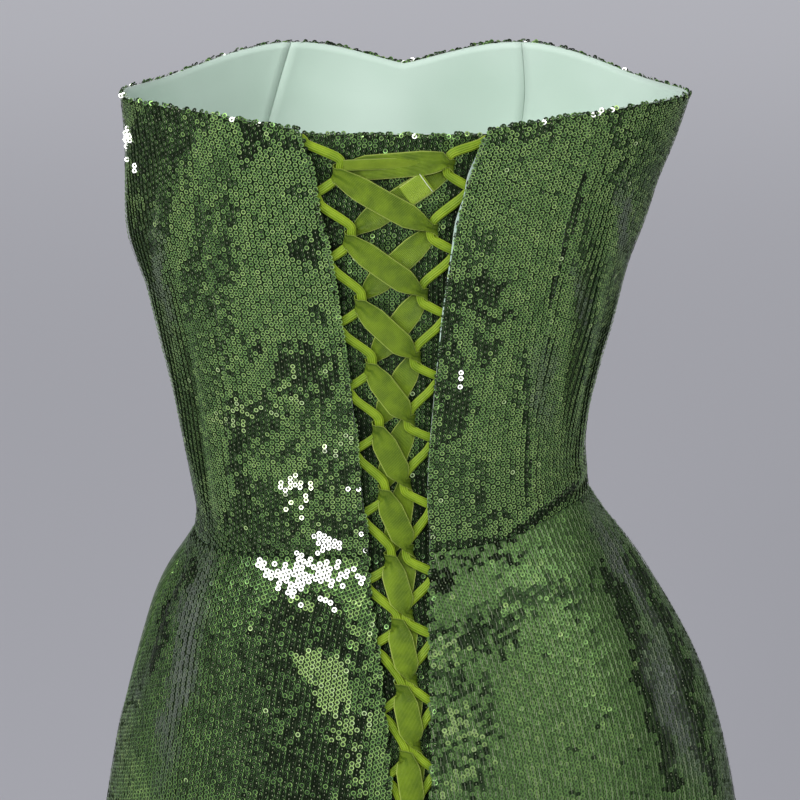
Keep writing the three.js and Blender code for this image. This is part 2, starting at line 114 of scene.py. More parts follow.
class Shade:
    """One socket of a material's nodes. Arithmetic on it adds Math nodes."""

    def __init__(self, tree, socket=None):
        self.tree = tree
        self.socket = socket

    def node(self, kind, settings=None, sockets=None, out=0, stops=None):
        made = self.tree.nodes.new("ShaderNode" + kind)
        for name, value in (settings or {}).items():
            setattr(made, name, value)
        if stops:
            ramp = made.color_ramp
            while len(ramp.elements) < len(stops):
                ramp.elements.new(0.5)
            for element, (place, colour) in zip(ramp.elements, stops):
                element.position = place
                element.color = (*colour, 1)
        for name, value in (sockets or {}).items():
            if isinstance(value, Shade):
                self.tree.links.new(value.socket, made.inputs[name])
            else:
                made.inputs[name].default_value = value
        return Shade(self.tree, made.outputs[out])

    def math(self, operation, *values):
        return self.node("Math", {"operation": operation}, dict(enumerate(values)))

    def __add__(self, other):
        return self.math("ADD", self, other)

    def __sub__(self, other):
        return self.math("SUBTRACT", self, other)

    def __rsub__(self, other):
        return self.math("SUBTRACT", other, self)

    def __mul__(self, other):
        return self.math("MULTIPLY", self, other)

    def __truediv__(self, other):
        return self.math("DIVIDE", self, other)

    def __mod__(self, other):
        return self.math("FLOORED_MODULO", self, other)

    __radd__ = __add__
    __rmul__ = __mul__

    def floor(self):
        return self.math("FLOOR", self)

    def power(self, other):
        return self.math("POWER", self, other)

    def wave(self, operation="SINE"):
        return self.math(operation, self)

    def above(self, other):
        return self.math("GREATER_THAN", self, other)

    def between(self, low, high):
        """0 below low and 1 above high, with a soft step between them."""
        edges = {"Value": self, "From Min": low, "From Max": high}
        return self.node("MapRange", {"interpolation_type": "SMOOTHSTEP"}, edges)

    def mix(self, first, second):
        """A colour from first to second by this share."""
        return self.node("Mix", {"data_type": "RGBA"}, {"Factor": self, 6: first, 7: second}, out=2)

    def ramp(self, stops):
        return self.node("ValToRGB", {}, {"Fac": self}, stops=stops)

    def scaled(self, share):
        """A colour made brighter or darker."""
        return self.node("VectorMath", {"operation": "SCALE"}, {0: self, "Scale": share})

    def axes(self):
        parts = self.tree.nodes.new("ShaderNodeSeparateXYZ")
        self.tree.links.new(self.socket, parts.inputs[0])
        return [Shade(self.tree, part) for part in parts.outputs]

    def seen(self, name):
        """A number that the mesh carries at its points."""
        return self.node("Attribute", {"attribute_name": name}, out="Fac")

    def uv(self, name="cloth"):
        return self.node("UVMap", {"uv_map": name}).axes()

    def place(self):
        return self.node("TexCoord", out="Object")

    def noise(self, scale, place=None, detail=2.0):
        return self.node("TexNoise", {}, {"Vector": place or self.place(), "Scale": scale, "Detail": detail})

    def bump(self, height):
        return self.node("Bump", {}, {"Height": height, "Distance": 1.0, "Strength": 1.0})

    def finish(self, constants, **varied):
        shader = self.tree.nodes["Principled BSDF"]
        for name, value in constants.items():
            shader.inputs[name].default_value = value
        for name, value in varied.items():
            self.tree.links.new(value.socket, shader.inputs[name.replace("_", " ")])


def new_finish(name):
    made = bpy.data.materials.new(name)
    made.use_nodes = True
    return made, Shade(made.node_tree)


floor_paint, shade = new_finish("floor_paint")
near_grey = (0.60, 0.60, 0.65, 1)
far_grey = (0.92, 0.92, 0.97, 1)
far = shade.place().axes()[1].between(1.0, 9.0)
shade.finish({"Roughness": 0.85}, Base_Color=far.mix(near_grey, far_grey))
floor_mesh.materials.append(floor_paint)

# Bodice: seven panels of sequined net over a smooth pale lining, cut with princess seams and
# boned to stand by itself, with two cups in front. Each panel is one shell, seamed at its sides.
# All cut sizes are in millimetres, as in the tailor's pattern, and the scene is in metres.
MM = 0.001


def table(columns, *rows):
    """The columns of a pattern table, by name."""
    return dict(zip(columns.split(), np.array(rows, float).T))


section_columns = "height centre half tilt back front"
bodice_sections = table(
    section_columns,
    (0, 0, 119.5, 6.25, 84, 92),
    (12, 0, 117.8, 5.9, 84, 91),
    (30, -2, 118.2, 5.4, 84.5, 92),
    (60, -3.5, 122, 4.6, 85.5, 94),
    (90, -3, 127.5, 3.8, 87, 97),
    (120, -2.5, 135, 3, 88.5, 101),
    (150, -2.5, 142, 2.2, 90, 105),
    (180, -2, 151.5, 1.4, 91, 108),
    (205, 0.5, 156, 0.7, 91.5, 110),
    (230, 5, 160.5, 0, 92, 111),
    (270, 9.5, 168.5, 0, 92, 112),
)
skirt_sections = table(
    section_columns,
    (-1050, 16, 300, 0, 245, 240),
    (-750, 17, 266, 0, 206, 204),
    (-500, 19, 238, 0, 172, 172),
    (-300, 19, 212, 0, 142, 144),
    (-190, 18, 194, 0, 125, 127),
    (-140, 16, 184, 1.6, 117, 119),
    (-105, 13, 174, 2.8, 110, 113),
    (-75, 8.5, 162, 3.8, 103, 107),
    (-50, 4, 150, 4.6, 97, 102),
    (-30, 1.6, 138.5, 5.3, 92, 98),
    (-15, 0.3, 128.5, 5.8, 88, 95),
    (0, 0, 119.5, 6.25, 84, 92),
)
back_squareness = 2.4
front_squareness = 2.2

fold_columns = "angle drift width out start full fade end"
cups = table(
    fold_columns,
    (146, 0, 19, 21, 80, 182, 200, 330),
    (-146, 0, 19, 21, 80, 182, 200, 330),
)
skirt_folds = table(
    fold_columns,
    (-104, 0, 8, 4, -2, -40, -80, -190),
    (-85, 0, 5, -12, -2, -32, -62, -135),
    (86, -9, 5, 4, -6, -45, -170, -420),
    (72, -6, 4.5, -2.5, -6, -45, -150, -360),
    (170, 1, 8, 17, -260, -980, -1100, -1200),
    (131, 0, 8, 24, -220, -960, -1100, -1200),
    (97, 0, 7, 19, -300, -940, -1100, -1200),
    (60, 0, 8, 22, -270, -980, -1100, -1200),
    (24, 0, 7, 20, -330, -950, -1100, -1200),
    (-16, 0, 8, 23, -300, -990, -1100, -1200),
    (-51, 0, 7, 18, -250, -930, -1100, -1200),
    (-88, 0, 8, 24, -280, -980, -1100, -1200),
    (-127, 0, 8, 20, -240, -960, -1100, -1200),
    (-161, 0, 7, 22, -300, -970, -1100, -1200),
)
seam_reach = 60
top_edge = table(
    "angle height",
    (-180, 250), (-148, 264), (-112, 251), (-86, 256), (-61, 257.5), (-34, 250.5),
    (30, 251.5), (55, 258), (72, 259.5), (112, 251), (148, 264), (180, 250),
)
waist_seam = table(
    "angle rise",
    (-180, 0), (-70, 1.5), (-30, 0), (0, -3), (42, -4), (66, 3.5), (90, 0), (180, 0),
)


def curve(rows, along, column, place):
    """The smooth curve through a table's rows, as the pattern's own curves run."""
    t, values = rows[along], rows[column]
    place = np.clip(place, t[0], t[-1])
    last = len(t) - 2
    i = np.clip(np.searchsorted(t, place, side="right") - 1, 0, last)
    t0, t1 = t[i], t[i + 1]
    before = np.where(i == 0, i + 1, i - 1)
    after = np.where(i == last, i, np.minimum(i + 2, last + 1))
    weight_before = 0.5 * (t1 - t0) / (t0 - t[before])
    weight_after = 0.5 * (t1 - t0) / (t[after] - t1)
    p = (place - t0) / (t1 - t0)
    share_before = -weight_before * p**3 + 2 * weight_before * p**2 - weight_before * p
    share_0 = (1 + weight_before) * p**3 - (1.5 + 2 * weight_before) * p**2 + (weight_before - 0.5) * p + 1
    share_1 = -(1 + weight_after) * p**3 + (1.5 + weight_after) * p**2 + 0.5 * p
    share_after = weight_after * (p**3 - p**2)
    return (share_before * values[before] + share_0 * values[i]
            + share_1 * values[i + 1] + share_after * values[after])


def soft_step(value, low, high):
    share = np.clip((value - low) / (high - low), 0, 1)
    return share * share * (3 - 2 * share)


def mixed(first, second, share):
    return first + (second - first) * share


def signed(angle):
    return (angle + 180) % 360 - 180


def folds_at(folds, angle, level):
    out = 0
    for fold in zip(*folds.values()):
        middle, drift, width, push, start, full, fade, end = fold
        grows = soft_step(abs(level - start), 0, abs(full - start))
        fades = soft_step(abs(level - end), 0, abs(fade - end))
        way = end - start
        begun = ((level - start) * way > 0) & ((level - end) * way <= 0)
        away = signed(angle - (middle - drift * level / 100))
        out = out + push * grows * fades * begun * np.exp(-0.5 * (away / width) ** 2)
    return out


def on_body(in_skirt, angle, level):
    """The gown's outer surface at angles round the body and levels over the waist seam."""
    rows = skirt_sections if in_skirt else bodice_sections
    columns = section_columns.split()[1:]
    centre, half, tilt, back, front = (curve(rows, "height", column, level) for column in columns)
    turn = np.radians(angle)
    in_back = np.cos(turn) > 0
    across = abs(np.sin(turn)) / half
    deep = abs(np.cos(turn)) / np.where(in_back, back, front)
    power = np.where(in_back, back_squareness, front_squareness)
    radius = (across**power + deep**power) ** (-1 / power)
    radius = radius + folds_at(skirt_folds if in_skirt else cups, angle, level)
    side = radius * np.sin(turn)
    lean = np.radians(tilt)
    near_seam = 1 - soft_step(abs(level), 0, seam_reach)
    rise = curve(waist_seam, "angle", "rise", signed(angle)) * near_seam
    height = level + rise + side * np.sin(lean)
    return np.stack(np.broadcast_arrays(centre + side * np.cos(lean), -radius * np.cos(turn), height), -1)


def unit(vectors):
    return vectors / np.linalg.norm(vectors, axis=-1, keepdims=True)


def directions(in_skirt, angle, level, step=0.5):
    """The directions round the body, up it and out of it."""
    around = unit(on_body(in_skirt, angle + step, level) - on_body(in_skirt, angle - step, level))
    up = on_body(in_skirt, angle, level + step) - on_body(in_skirt, angle, level - step)
    outward = unit(np.cross(around, up))
    return around, np.cross(outward, around), outward


def off_body(in_skirt, angle, level, out):
    outward = directions(in_skirt, angle, level)[2]
    return on_body(in_skirt, angle, level) + outward * np.asarray(out)[..., None]


# The cloth's creases, each a soft line in the surface: where its middle lies, how far it runs to
# each side of that, how wide and high it is (a trough where negative), and its lean from upright.
creases = table(
    "angle level run width out lean",
    (66, 7, 38, 4.5, -3.4, 90),
    (60, 15, 40, 6, 1.2, 84),
    (-52, 7, 26, 3, -0.9, 90),
    (66, 120, 70, 5, 2.6, -3),
    (60, 128, 62, 5, -2.4, -4),
    (75, 70, 60, 6, 2.2, 6),
    (57, 205, 34, 3.5, -1.3, 0),
    (50, 92, 30, 5, -1.6, 6),
    (-70, 200, 46, 5, -2.4, 12),
    (-80, 196, 50, 5, 2.2, 9),
    (-76, 110, 70, 6, 2.6, -4),
    (-66, 90, 70, 5, -2.4, 2),
    (-33, 88, 32, 6, -1.3, 62),
    (-36, 66, 34, 7, 1.1, 60),
    (-38, 44, 34, 6, -1.4, 62),
    (-30, 26, 30, 6, 1, 66),
    (-48, 70, 60, 5, -1.1, 3),
    (36, 40, 26, 6, -0.8, 70),
    (-62, -120, 90, 11, 2.6, -3),
    (-50, -130, 80, 9, -1.6, -2),
    (30, -60, 26, 9, -1.3, 48),
    (48, -40, 30, 9, 1.1, 52),
    (60, -150, 110, 8, -1.6, -8),
    (120, 40, 40, 7, -1.8, 78),
    (-122, 46, 42, 7, -1.6, 80),
    (108, 100, 60, 6, -1.5, 5),
    (-110, 96, 56, 7, -1.4, -6),
    (165, 30, 36, 8, -1.3, 84),
    (-160, 58, 34, 7, -1.2, 70),
    (135, -70, 60, 12, -2, 12),
    (-140, -90, 70, 12, -2.2, -10),
    (178, -60, 70, 10, 1.8, 3),
)
crease_radius = 110


def creases_at(angle, level):
    out = 0
    for middle, height, run, width, push, lean in zip(*creases.values()):
        side = np.radians(signed(angle - middle)) * crease_radius
        rise = level - height
        slope = math.radians(lean)
        along = side * math.sin(slope) + rise * math.cos(slope)
        aside = side * math.cos(slope) - rise * math.sin(slope)
        out = out + push * np.exp(-((aside / width) ** 2) - (along / run) ** 4)
    return out


def make_grid(name, points, uv, closed=False, **values):
    """A sheet through rows and columns of points, with its own map and the values it carries.
    A closed one comes round to its first column, and its two ends are capped."""
    rows, columns = points.shape[0] - 1, points.shape[1] - 1
    bm = bmesh.new()
    bmesh.ops.create_grid(bm, x_segments=columns, y_segments=rows, size=0.5)
    cloth = bm.loops.layers.uv.new("cloth")
    carried = {key: bm.verts.layers.float.new(key) for key in values}
    place = {}
    for vert in bm.verts:
        i = round((vert.co.x + 0.5) * columns)
        j = round((vert.co.y + 0.5) * rows)
        place[vert] = (j, i)
        vert.co = points[j, i] * MM
        for key, layer in carried.items():
            vert[layer] = float(values[key][j, i])
    for face in bm.faces:
        face.smooth = True
        for loop in face.loops:
            loop[cloth].uv = uv[place[loop.vert]]
    if closed:
        bmesh.ops.remove_doubles(bm, verts=bm.verts, dist=1e-7)
        ends = [edge for edge in bm.edges if edge.is_boundary]
        bmesh.ops.holes_fill(bm, edges=ends)
        bmesh.ops.recalc_face_normals(bm, faces=bm.faces)
    mesh = bpy.data.meshes.new(name)
    bm.to_mesh(mesh)
    bm.free()
    return mesh


def add_piece(name, mesh, slot, *finishes):
    piece = bpy.data.objects.new(name, mesh)
    scene.collection.objects.link(piece)
    for finish in finishes:
        mesh.materials.append(finish)
    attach(piece, "root")
    return piece


# Sequin colours, with painted reflection at both ends: near black, painted where the foil would
# mirror the dark of the studio, then the foil's own greens, up to the white of a painted spark.
foil_and_reflection_stops = [
    (0.0, (0.002, 0.003, 0.001)),
    (0.16, (0.009, 0.016, 0.007)),
    (0.3, (0.042, 0.083, 0.029)),
    (0.5, (0.122, 0.228, 0.068)),
    (0.68, (0.30, 0.44, 0.145)),
    (0.84, (0.50, 0.62, 0.36)),
    (1.0, (0.92, 0.95, 0.86)),
]
# Painted sheen: the grey that the foil is painted where it would mirror the grey studio.
painted_sheen_grey = (0.19, 0.21, 0.19, 1)
thread_green = (0.20, 0.27, 0.13, 1)
painted_shade_net = (0.010, 0.019, 0.008, 1)
bodice_net = (0.012, 0.022, 0.010, 1)
skirt_net = (0.055, 0.10, 0.036, 1)
bodice_pitch = (3.1, 2.9)
skirt_pitch = (3.45, 2.75)
close_pitch = (3.45, 2.3)


def sequined_finish(name, pitch, net_green):
    """Sequined net. Where real sequins cover it, it is dark net with its rows of thread, painted darker
    still on its left side as painted shade, and elsewhere its sequins are drawn in the same size, colours
    and tilts, with a painted highlight round each rim."""
    made, shade = new_finish(name)
    u, v, _ = shade.uv()
    column_place = u / (pitch[0] * MM)
    column = column_place.floor()
    row_place = v / (pitch[1] * MM) + (column % 2) * 0.5
    row = row_place.floor()
    aside = (column_place - column - 0.5) * pitch[0]
    along = (row_place - row - 0.5) * pitch[1]
    centre = shade.node("CombineXYZ", {}, {0: column, 1: row})
    chance = shade.node("TexWhiteNoise", {"noise_dimensions": "2D"}, {"Vector": centre}, out="Color")
    chance = chance.axes()
    reach = (aside * aside + along * along).power(0.5) / (0.5 * pitch[0])
    disc = (1 - reach.between(0.86, 1.0)) * reach.between(0.16, 0.26)
    patches = shade.noise(0.045, centre, 3.0).between(0.3, 0.62)
    tone = 0.49 + (chance[0] - 0.5) * 0.12 - (1 - patches) * 0.12
    tone = tone + chance[1].between(0.975, 0.99) * 0.2
    foil = tone.ramp(foil_and_reflection_stops)
    # Painted highlight: each drawn sequin is brighter in a band round its rim.
    rim = 1 + (reach.between(0.45, 0.7) * (1 - reach.between(0.75, 0.95))) * 0.5
    foil = foil.scaled(rim * 0.92)
    thread = (1 - (aside * aside).power(0.5).between(0.15, 0.35)) * 0.25
    # Painted shade: the net is darker on the left side (negative x) than on the right.
    lit_side = shade.place().axes()[0].between(-0.01, 0.05)
    net = thread.mix(lit_side.mix(painted_shade_net, net_green), thread_green)
    shown = disc * (chance[2] + 0.001).above(shade.seen("covered"))
    tilt = (aside * (chance[0] - 0.5) + along * (chance[1] - 0.5) - along * 0.3) * (0.22 * MM)
    shade.finish(
        {"Specular IOR Level": 0.03, "Coat Roughness": 0.2},
        Coat_Weight=shown * 0.12,
        Base_Color=shown.mix(net, foil),
        Metallic=shown * 0.8,
        Roughness=0.75 - shown * 0.45,
        Normal=shade.bump(tilt * shown))
    return made


lining_mint = (0.55, 0.70, 0.60, 1)
lining_pale = (0.62, 0.76, 0.67, 1)
threads_to_metre = 9000.0
lining, shade = new_finish("lining")
u, v, _ = shade.uv()
fine_weave = (u * threads_to_metre).wave() * (v * threads_to_metre).wave()
shade.finish(
    {"Roughness": 0.48, "Sheen Weight": 0.3, "Sheen Roughness": 0.4},
    Base_Color=shade.noise(14).between(0.3, 0.7).mix(lining_mint, lining_pale),
    Normal=shade.bump(fine_weave * 0.00003 + shade.noise(9) * 0.0012))

bodice_cloth = sequined_finish("bodice_sequins", bodice_pitch, bodice_net)
skirt_cloth = sequined_finish("skirt_sequins", skirt_pitch, skirt_net)

cloth_wall = 1.8
half_gap = 0.02
seam_dip = 0.7
seam_dip_reach = 2.0


def arc_lengths(points):
    """How far each point of a row lies along it from the row's middle."""
    steps = np.linalg.norm(np.diff(points, axis=1), axis=-1)
    lengths = np.concatenate([np.zeros((len(points), 1)), np.cumsum(steps, axis=1)], axis=1)
    return lengths - lengths[:, -1:] / 2


def dip_from(away):
    """How far the cloth dips at a distance from its nearest seam."""
    return seam_dip * np.exp(-((away / seam_dip_reach) ** 2))


def from_edges(points, sides, ends):
    """How far each point of a grid lies from those of its edges that are seamed."""
    along = arc_lengths(points)
    half = along[:, -1:]
    height = points[..., 2]
    gaps = (along + half, half - along, abs(height - height[:1]), abs(height - height[-1:]))
    return np.min([gap for gap, seamed in zip(gaps, sides + ends) if seamed], axis=0)


def cloth_panel(name, points, covered, finish):
    """A shell of the wall's thickness under a grid of points, with the lining as its inner face."""
    up = points[..., 2] - points[:1, :, 2]
    uv = np.stack([arc_lengths(points) * MM, up * MM], -1)
    mesh = make_grid(name, points, uv, covered=covered)
    piece = add_piece(name, mesh, "sequined_cloth", finish, lining)
    wall = piece.modifiers.new("wall", "SOLIDIFY")
    wall.thickness = cloth_wall * MM
    wall.offset = -1
    wall.use_even_offset = True
    wall.material_offset = 1
    wall.material_offset_rim = 1
    return piece


bodice_top = 258
seams = {
    "front_left": (-152, -146, -148),
    "side_left": (-92, -92, -92),
    "back_left": (-60.5, -54, -60.5),
    "back_right": (52, 53, 53.5),
    "side_right": (92, 92, 92),
    "front_right": (152, 146, 148),
    "front_left_turned": (208, 214, 212),
}
opening_edges = table(
    "height left right",
    (-228, -13.4, -11), (-205, -17.6, -5), (-180, -18.6, 1), (-142, -16.5, 7), (-92, -15, 11.5),
    (-52, -12.5, 18), (-14, -13.4, 22.3), (23, -14.2, 22.6), (62, -16, 25.8), (105, -21, 28.4),
    (143, -27, 32), (176, -32, 36), (210, -42, 39.2), (228, -49, 41), (270, -67, 52),
)
opening_end = -228


def opening_at(height, side):
    return curve(opening_edges, "height", side, height)


def section_at(column, height):
    """A measure of the whole gown's sections, the skirt's under the waist and the bodice's over it."""
    skirt, bodice = (curve(rows, "height", column, height) for rows in (skirt_sections, bodice_sections))
    return np.where(height < 0, skirt, bodice)


def back_angle(side, height):
    """The angle at which the back lies a distance to the side of its middle."""
    height = np.asarray(height, float)
    share = np.clip(abs(side) / section_at("half", height), 0, 0.999)
    depth = section_at("back", height) * (1 - share**back_squareness) ** (1 / back_squareness)
    return np.degrees(np.arctan2(side, depth))


def seam_angle(name, level):
    """The seam's angle, on the curve through its ends and its middle."""
    if name in ("left", "right"):
        return back_angle(opening_at(level, name), level)
    up = np.clip(np.asarray(level, float) / bodice_top, 0, 1)
    waist, middle, top = seams[name]
    return mixed(mixed(waist, middle, up * 2), mixed(middle, top, up * 2 - 1), up)


def top_at(angle):
    return curve(top_edge, "angle", "height", signed(angle))


bodice_panels = {
    "back_left": ("back_left", "left", 30),
    "back_right": ("right", "back_right", 26),
    "side_left": ("side_left", "back_left", 20),
    "side_right": ("back_right", "side_right", 22),
    "side_front_left": ("front_left", "side_left", 28),
    "side_front_right": ("side_right", "front_right", 28),
    "centre_front": ("front_right", "front_left_turned", 28),
}
bodice_rows = 60


def side_gap(angle, level, direction):
    back = curve(skirt_sections, "height", "back", level)
    return angle + direction * np.degrees(half_gap) / back


def bodice_points(left, right, columns):
    up = np.linspace(0, 1, bodice_rows + 1)[:, None]
    low = side_gap(seam_angle(left, up * bodice_top), 0, 1)
    high = side_gap(seam_angle(right, up * bodice_top), 0, -1)
    angle = mixed(low, high, np.linspace(0, 1, columns + 1)[None, :])
    level = mixed(half_gap, top_at(angle), up)
    bare = on_body(False, angle, level)
    seamed = (left != "right", right != "left")
    dip = dip_from(from_edges(bare, seamed, (True, False)))
    return off_body(False, angle, level, creases_at(angle, level) - dip)


for panel, (left, right, columns) in bodice_panels.items():
    points = bodice_points(left, right, columns)
    piece = cloth_panel(f"cloth_bodice_{panel}", points, np.ones(points.shape[:2]), bodice_cloth)
    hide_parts(f"bodice_{panel}")

# Skirt: two back panels and a front in the same sequined net, lined, flaring from the waist seam
# over the hips to a floor-length hem in soft folds. The back panels meet in a centre seam
# below the laced opening.
skirt_rows = 150
hem_level = -1050
row_crowding = 1.5
skirt_panels = {
    "back_left": ("side_left", "left", 76),
    "back_right": ("right", "side_right", 76),
    "front": ("side_right", "side_left_turned", 130),
}
centre_seam = back_angle(
    (opening_at(opening_end, "left") + opening_at(opening_end, "right")) / 2, opening_end)
covered_from = -235
covered_to = -300


def skirt_edge(name, level):
    if name in ("left", "right"):
        edge = back_angle(opening_at(level, name), level)
        return np.where(level > opening_end, edge, centre_seam)
    return {"side_left": -92, "side_right": 92, "side_left_turned": 268}[name] + 0 * level


def ripples_at(angle, level):
    """Slight waves that run down the skirt, stronger towards the hem and unevenly spaced."""
    turn = np.radians(angle)
    strength = soft_step(-level, 120, 700)
    wave = np.sin(17 * turn + 0.8 * np.sin(3 * turn)) + 0.7 * np.sin(29 * turn + 1.3 + level / 260)
    return strength * wave * 1.3


def skirt_points(left, right, columns):
    up = np.linspace(0, 1, skirt_rows + 1)[:, None]
    level = np.minimum(hem_level * (1 - up) ** row_crowding, -half_gap)
    low = side_gap(skirt_edge(left, level), level, 1)
    high = side_gap(skirt_edge(right, level), level, -1)
    angle = mixed(low, high, np.linspace(0, 1, columns + 1)[None, :])
    level = level + 0 * angle
    bare = on_body(True, angle, level)
    dip = dip_from(from_edges(bare, (True, True), (False, True)))
    points = off_body(True, angle, level, creases_at(angle, level) + ripples_at(angle, level) - dip)
    return points, level


for panel, (left, right, columns) in skirt_panels.items():
    points, level = skirt_points(left, right, columns)
    covered = 1.01 * soft_step(level, covered_to, covered_from)
    if panel == "front":
        covered = covered * 0
    piece = cloth_panel(f"cloth_skirt_{panel}", points, covered, skirt_cloth)
    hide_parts(f"skirt_{panel}")

# Sequins: flat foil rings of three millimetres with a thread through the hole, sewn down in
# rows that are staggered from column to column. They tilt a little as they lie on each other. The
# dark parts of the cloth are painted reflection and painted shadow in their colours, and the sparks
# are painted white and turned to the lamp.
# Painted light and shade on the sequins, by seen side and height: dark patches for the dark mirrored in the
# foil and for shadow along creases and folds, near white ones for painted sparks, and green ones for painted
# brighter and duller stretches.
painted_light_patches = table(
    "side height half_width half_height lean tone share",
    (95, -95, 84, 110, 0, 0.49, 1),
    (-72, -60, 66, 70, 0, 0.46, 1),
    (-95, -75, 62, 90, 4, 0.36, 0.92),
    (-104, -60, 34, 80, 8, 0.24, 0.6),
    (-110, 130, 12, 120, 7, 0.36, 0.7),
    (-79, 249, 8, 8, 0, 0.04, 1),
    (-61, 246, 11, 5, 0, 0.08, 0.7),
    (-82, 238, 5, 6, 0, 0.06, 0.9),
    (-53, 216, 6.5, 3.5, 0, 0.14, 0.8),
    (-47, 183, 10, 8, 0, 0.07, 0.92),
    (-42, 144, 6, 4, 0, 0.1, 0.8),
    (-76, 124, 8, 8, 0, 0.1, 0.55),
    (-49, 108, 20, 17, 0, 0.06, 0.82),
    (-79, 81, 16, 14, 0, 0.1, 0.9),
    (-91, 42, 5, 42, 0, 0.08, 0.85),
    (-38, 82, 16, 9, 0, 0.2, 0.55),
    (-74, 24, 14, 21, 0, 0.12, 0.75),
    (-34, 48, 16, 12, 0, 0.1, 0.6),
    (-84, 84, 7, 20, 62, 0.64, 0.42),
    (-60, 98, 8, 9, 0, 0.6, 0.25),
    (-95, 160, 7, 60, 4, 0.12, 0.5),
    (-58, 60, 34, 5, 0, 0.14, 0.4),
    (-60, 12, 34, 7, 0, 0.1, 0.5),
    (-60, 33, 30, 4, 12, 0.12, 0.4),
    (-33, 65, 11, 5, 0, 0.74, 0.45),
    (-55, 40, 10, 5, 35, 0.82, 0.62),
    (-57, 24, 9, 3, 50, 0.8, 0.5),
    (-20, 36, 3.5, 3.5, 0, 0.92, 0.7),
    (-29, 15, 14, 7, 0, 0.1, 0.75),
    (-40, 5, 7, 5, 0, 1, 0.85),
    (-16, 7, 4, 4, 0, 1, 0.5),
    (50, 185, 12, 9, 0, 0.18, 0.75),
    (47, 160, 14, 10, 0, 0.07, 0.88),
    (59, 142, 9, 4.5, 0, 0.05, 0.9),
    (55, 124, 8, 8, 0, 0.12, 0.8),
    (35, 128, 5, 22, 0, 0.1, 0.8),
    (76, 250, 16, 3, 0, 0.12, 0.6),
    (109, 186, 4, 16, 0, 0.2, 0.7),
    (40, 107, 5, 6, 0, 0.97, 0.5),
    (35, 87, 11, 24, 0, 0.1, 0.82),
    (40, 41, 18, 20, 0, 0.28, 0.45),
    (53, 36, 4, 5, 0, 0.12, 0.8),
    (56, 18, 18, 3, 0, 0.1, 0.8),
    (27, 35, 5, 5, 0, 0.7, 0.35),
    (24, 9, 4, 4, 0, 0.7, 0.5),
    (50, -4, 26, 3.5, 0, 0.14, 0.6),
    (30, -18, 7.5, 7, 0, 0.1, 0.88),
    (98, -92, 30, 88, -10, 0.525, 1),
    (70, -35, 9, 38, 64, 0.3, 0.6),
    (58, -48, 15, 12, 0, 0.2, 0.5),
    (35, -47, 14, 8, 0, 0.2, 0.5),
    (42, -102, 20, 38, 0, 0.24, 0.36),
    (110, -22, 12, 9, 0, 0.3, 0.4),
    (-52, -98, 40, 76, 0, 0.04, 0.8),
    (-92, -95, 18, 76, 0, 0.14, 0.6),
    (-22, -82, 10, 10, 0, 0.45, 0.9),
    (-40, -67, 15, 10, 0, 0.62, 0.95),
    (-33, -84, 9, 8, 0, 0.62, 0.95),
    (-26, -102, 5, 10, 0, 0.61, 0.85),
    (-52, -32, 5, 4, 0, 0.57, 0.9),
    (-21, -38, 4.5, 14, 0, 0.57, 0.8),
    (-19, -126, 7, 11, 0, 0.6, 0.45),
    (-47, -12, 29, 8.5, 0, 1, 0.66),
    (-54, -24, 7, 4.5, 0, 1, 0.6),
    (-38, -30, 9, 2.5, 0, 1, 0.4),
    (-12, -45, 2.5, 7, 0, 0.7, 0.5),
    (-12, -101, 5, 9, 0, 0.7, 0.3),
    (32, -60, 10, 11, 0, 0.7, 0.3),
    (42, -100, 11, 11, 0, 0.7, 0.5),
    (37, -138, 5, 5, 0, 0.7, 0.6),
    (42, -125, 6, 11, 0, 0.64, 0.5),
    (-132, 245, 19, 30, 12, 0.1, 0.95),
    (-138, 201, 11, 24, 8, 0.13, 0.8),
    (-113, 172, 5, 34, 8, 0.13, 0.75),
    (-145, 186, 4.5, 26, -8, 0.3, 0.6),
    (-107, 260, 7, 7, 0, 0.1, 0.5),
    (-93, 223, 3, 4.5, 0, 0.2, 0.8),
    (130, 239, 4, 22, -5, 0.16, 0.7),
    (146, 239, 9, 22, 8, 0.36, 0.7),
    (100, 186, 2.0, 43, 14, 0.07, 0.85),
    (119, 140, 8, 40, 6, 0.3, 0.5),
    (90, 23.5, 3.1, 28, 51, 0.05, 1),
    (47, 4.5, 2.6, 27, 85, 0.07, 0.97),
    (79, 74, 1.9, 48, -2, 0.13, 0.8),
    (75, 96, 4, 10, 0, 0.2, 0.5),
    (-151, 254, 3.3, 3.4, 0, 1, 0.85),
    (-150, 235, 3.3, 2.6, 0, 1, 0.9),
    (-15, 60, 3.1, 190, 0, 0.3, 0.3),
    (135, -30, 5, 30, -22, 0.19, 0.95),
    (155, -93, 6, 50, -14, 0.19, 0.95),
    (158, -36, 5.5, 38, -26, 0.2, 0.95),
    (180, -96, 6, 48, -16, 0.2, 0.9),
    (-134, -40, 4, 35, 22, 0.04, 0.95),
    (-62, 0, 1.8, 46, 90, 0.12, 0.7),
    (-101, -27, 11, 28, 5, 0.24, 0.6),
)
# Bands of painted sheen: the rings' colour is painted grey there, where the cloth turns away.
painted_sheen_bands = table(
    "side height half_width half_height lean share",
    (-134, 165, 5, 36, -5, 0.6),
    (135, 202, 4, 22, 0, 0.7),
    (112, 151, 4, 18, -12, 0.6),
    (88, 100, 7, 26, 0, 0.4),
    (-122, -61, 7, 68, 11, 0.85),
    (140, -15, 4.5, 36, -27, 0.9),
    (167, -90, 8, 48, -17, 0.9),
)
plain_tone = 0.49
patch_edge = 2.5
roundness = 2.6
wander = 1.6
narrow_patch = 3.2
column_edge = 4.5
turned_run = 8
hidden_patches = 30
tone_spread = 0.03
bright_stray, bright_strays = 0.68, 0.003
dark_stray, dark_strays = 0.25, 0.015
spark_tone = 0.78
sequin_lift = 0.75
aside_wander = 0.14
along_wander = 0.16
sewn_tilt = 0.05
spark_spread = 0.03
ring_share = 0.48
rim_corners = 8
hole_corners = 4
hole_share = 0.38
dish = 0.1
shingle = 0.12
rng = np.random.default_rng(12)
patch_rng = np.random.default_rng(5)
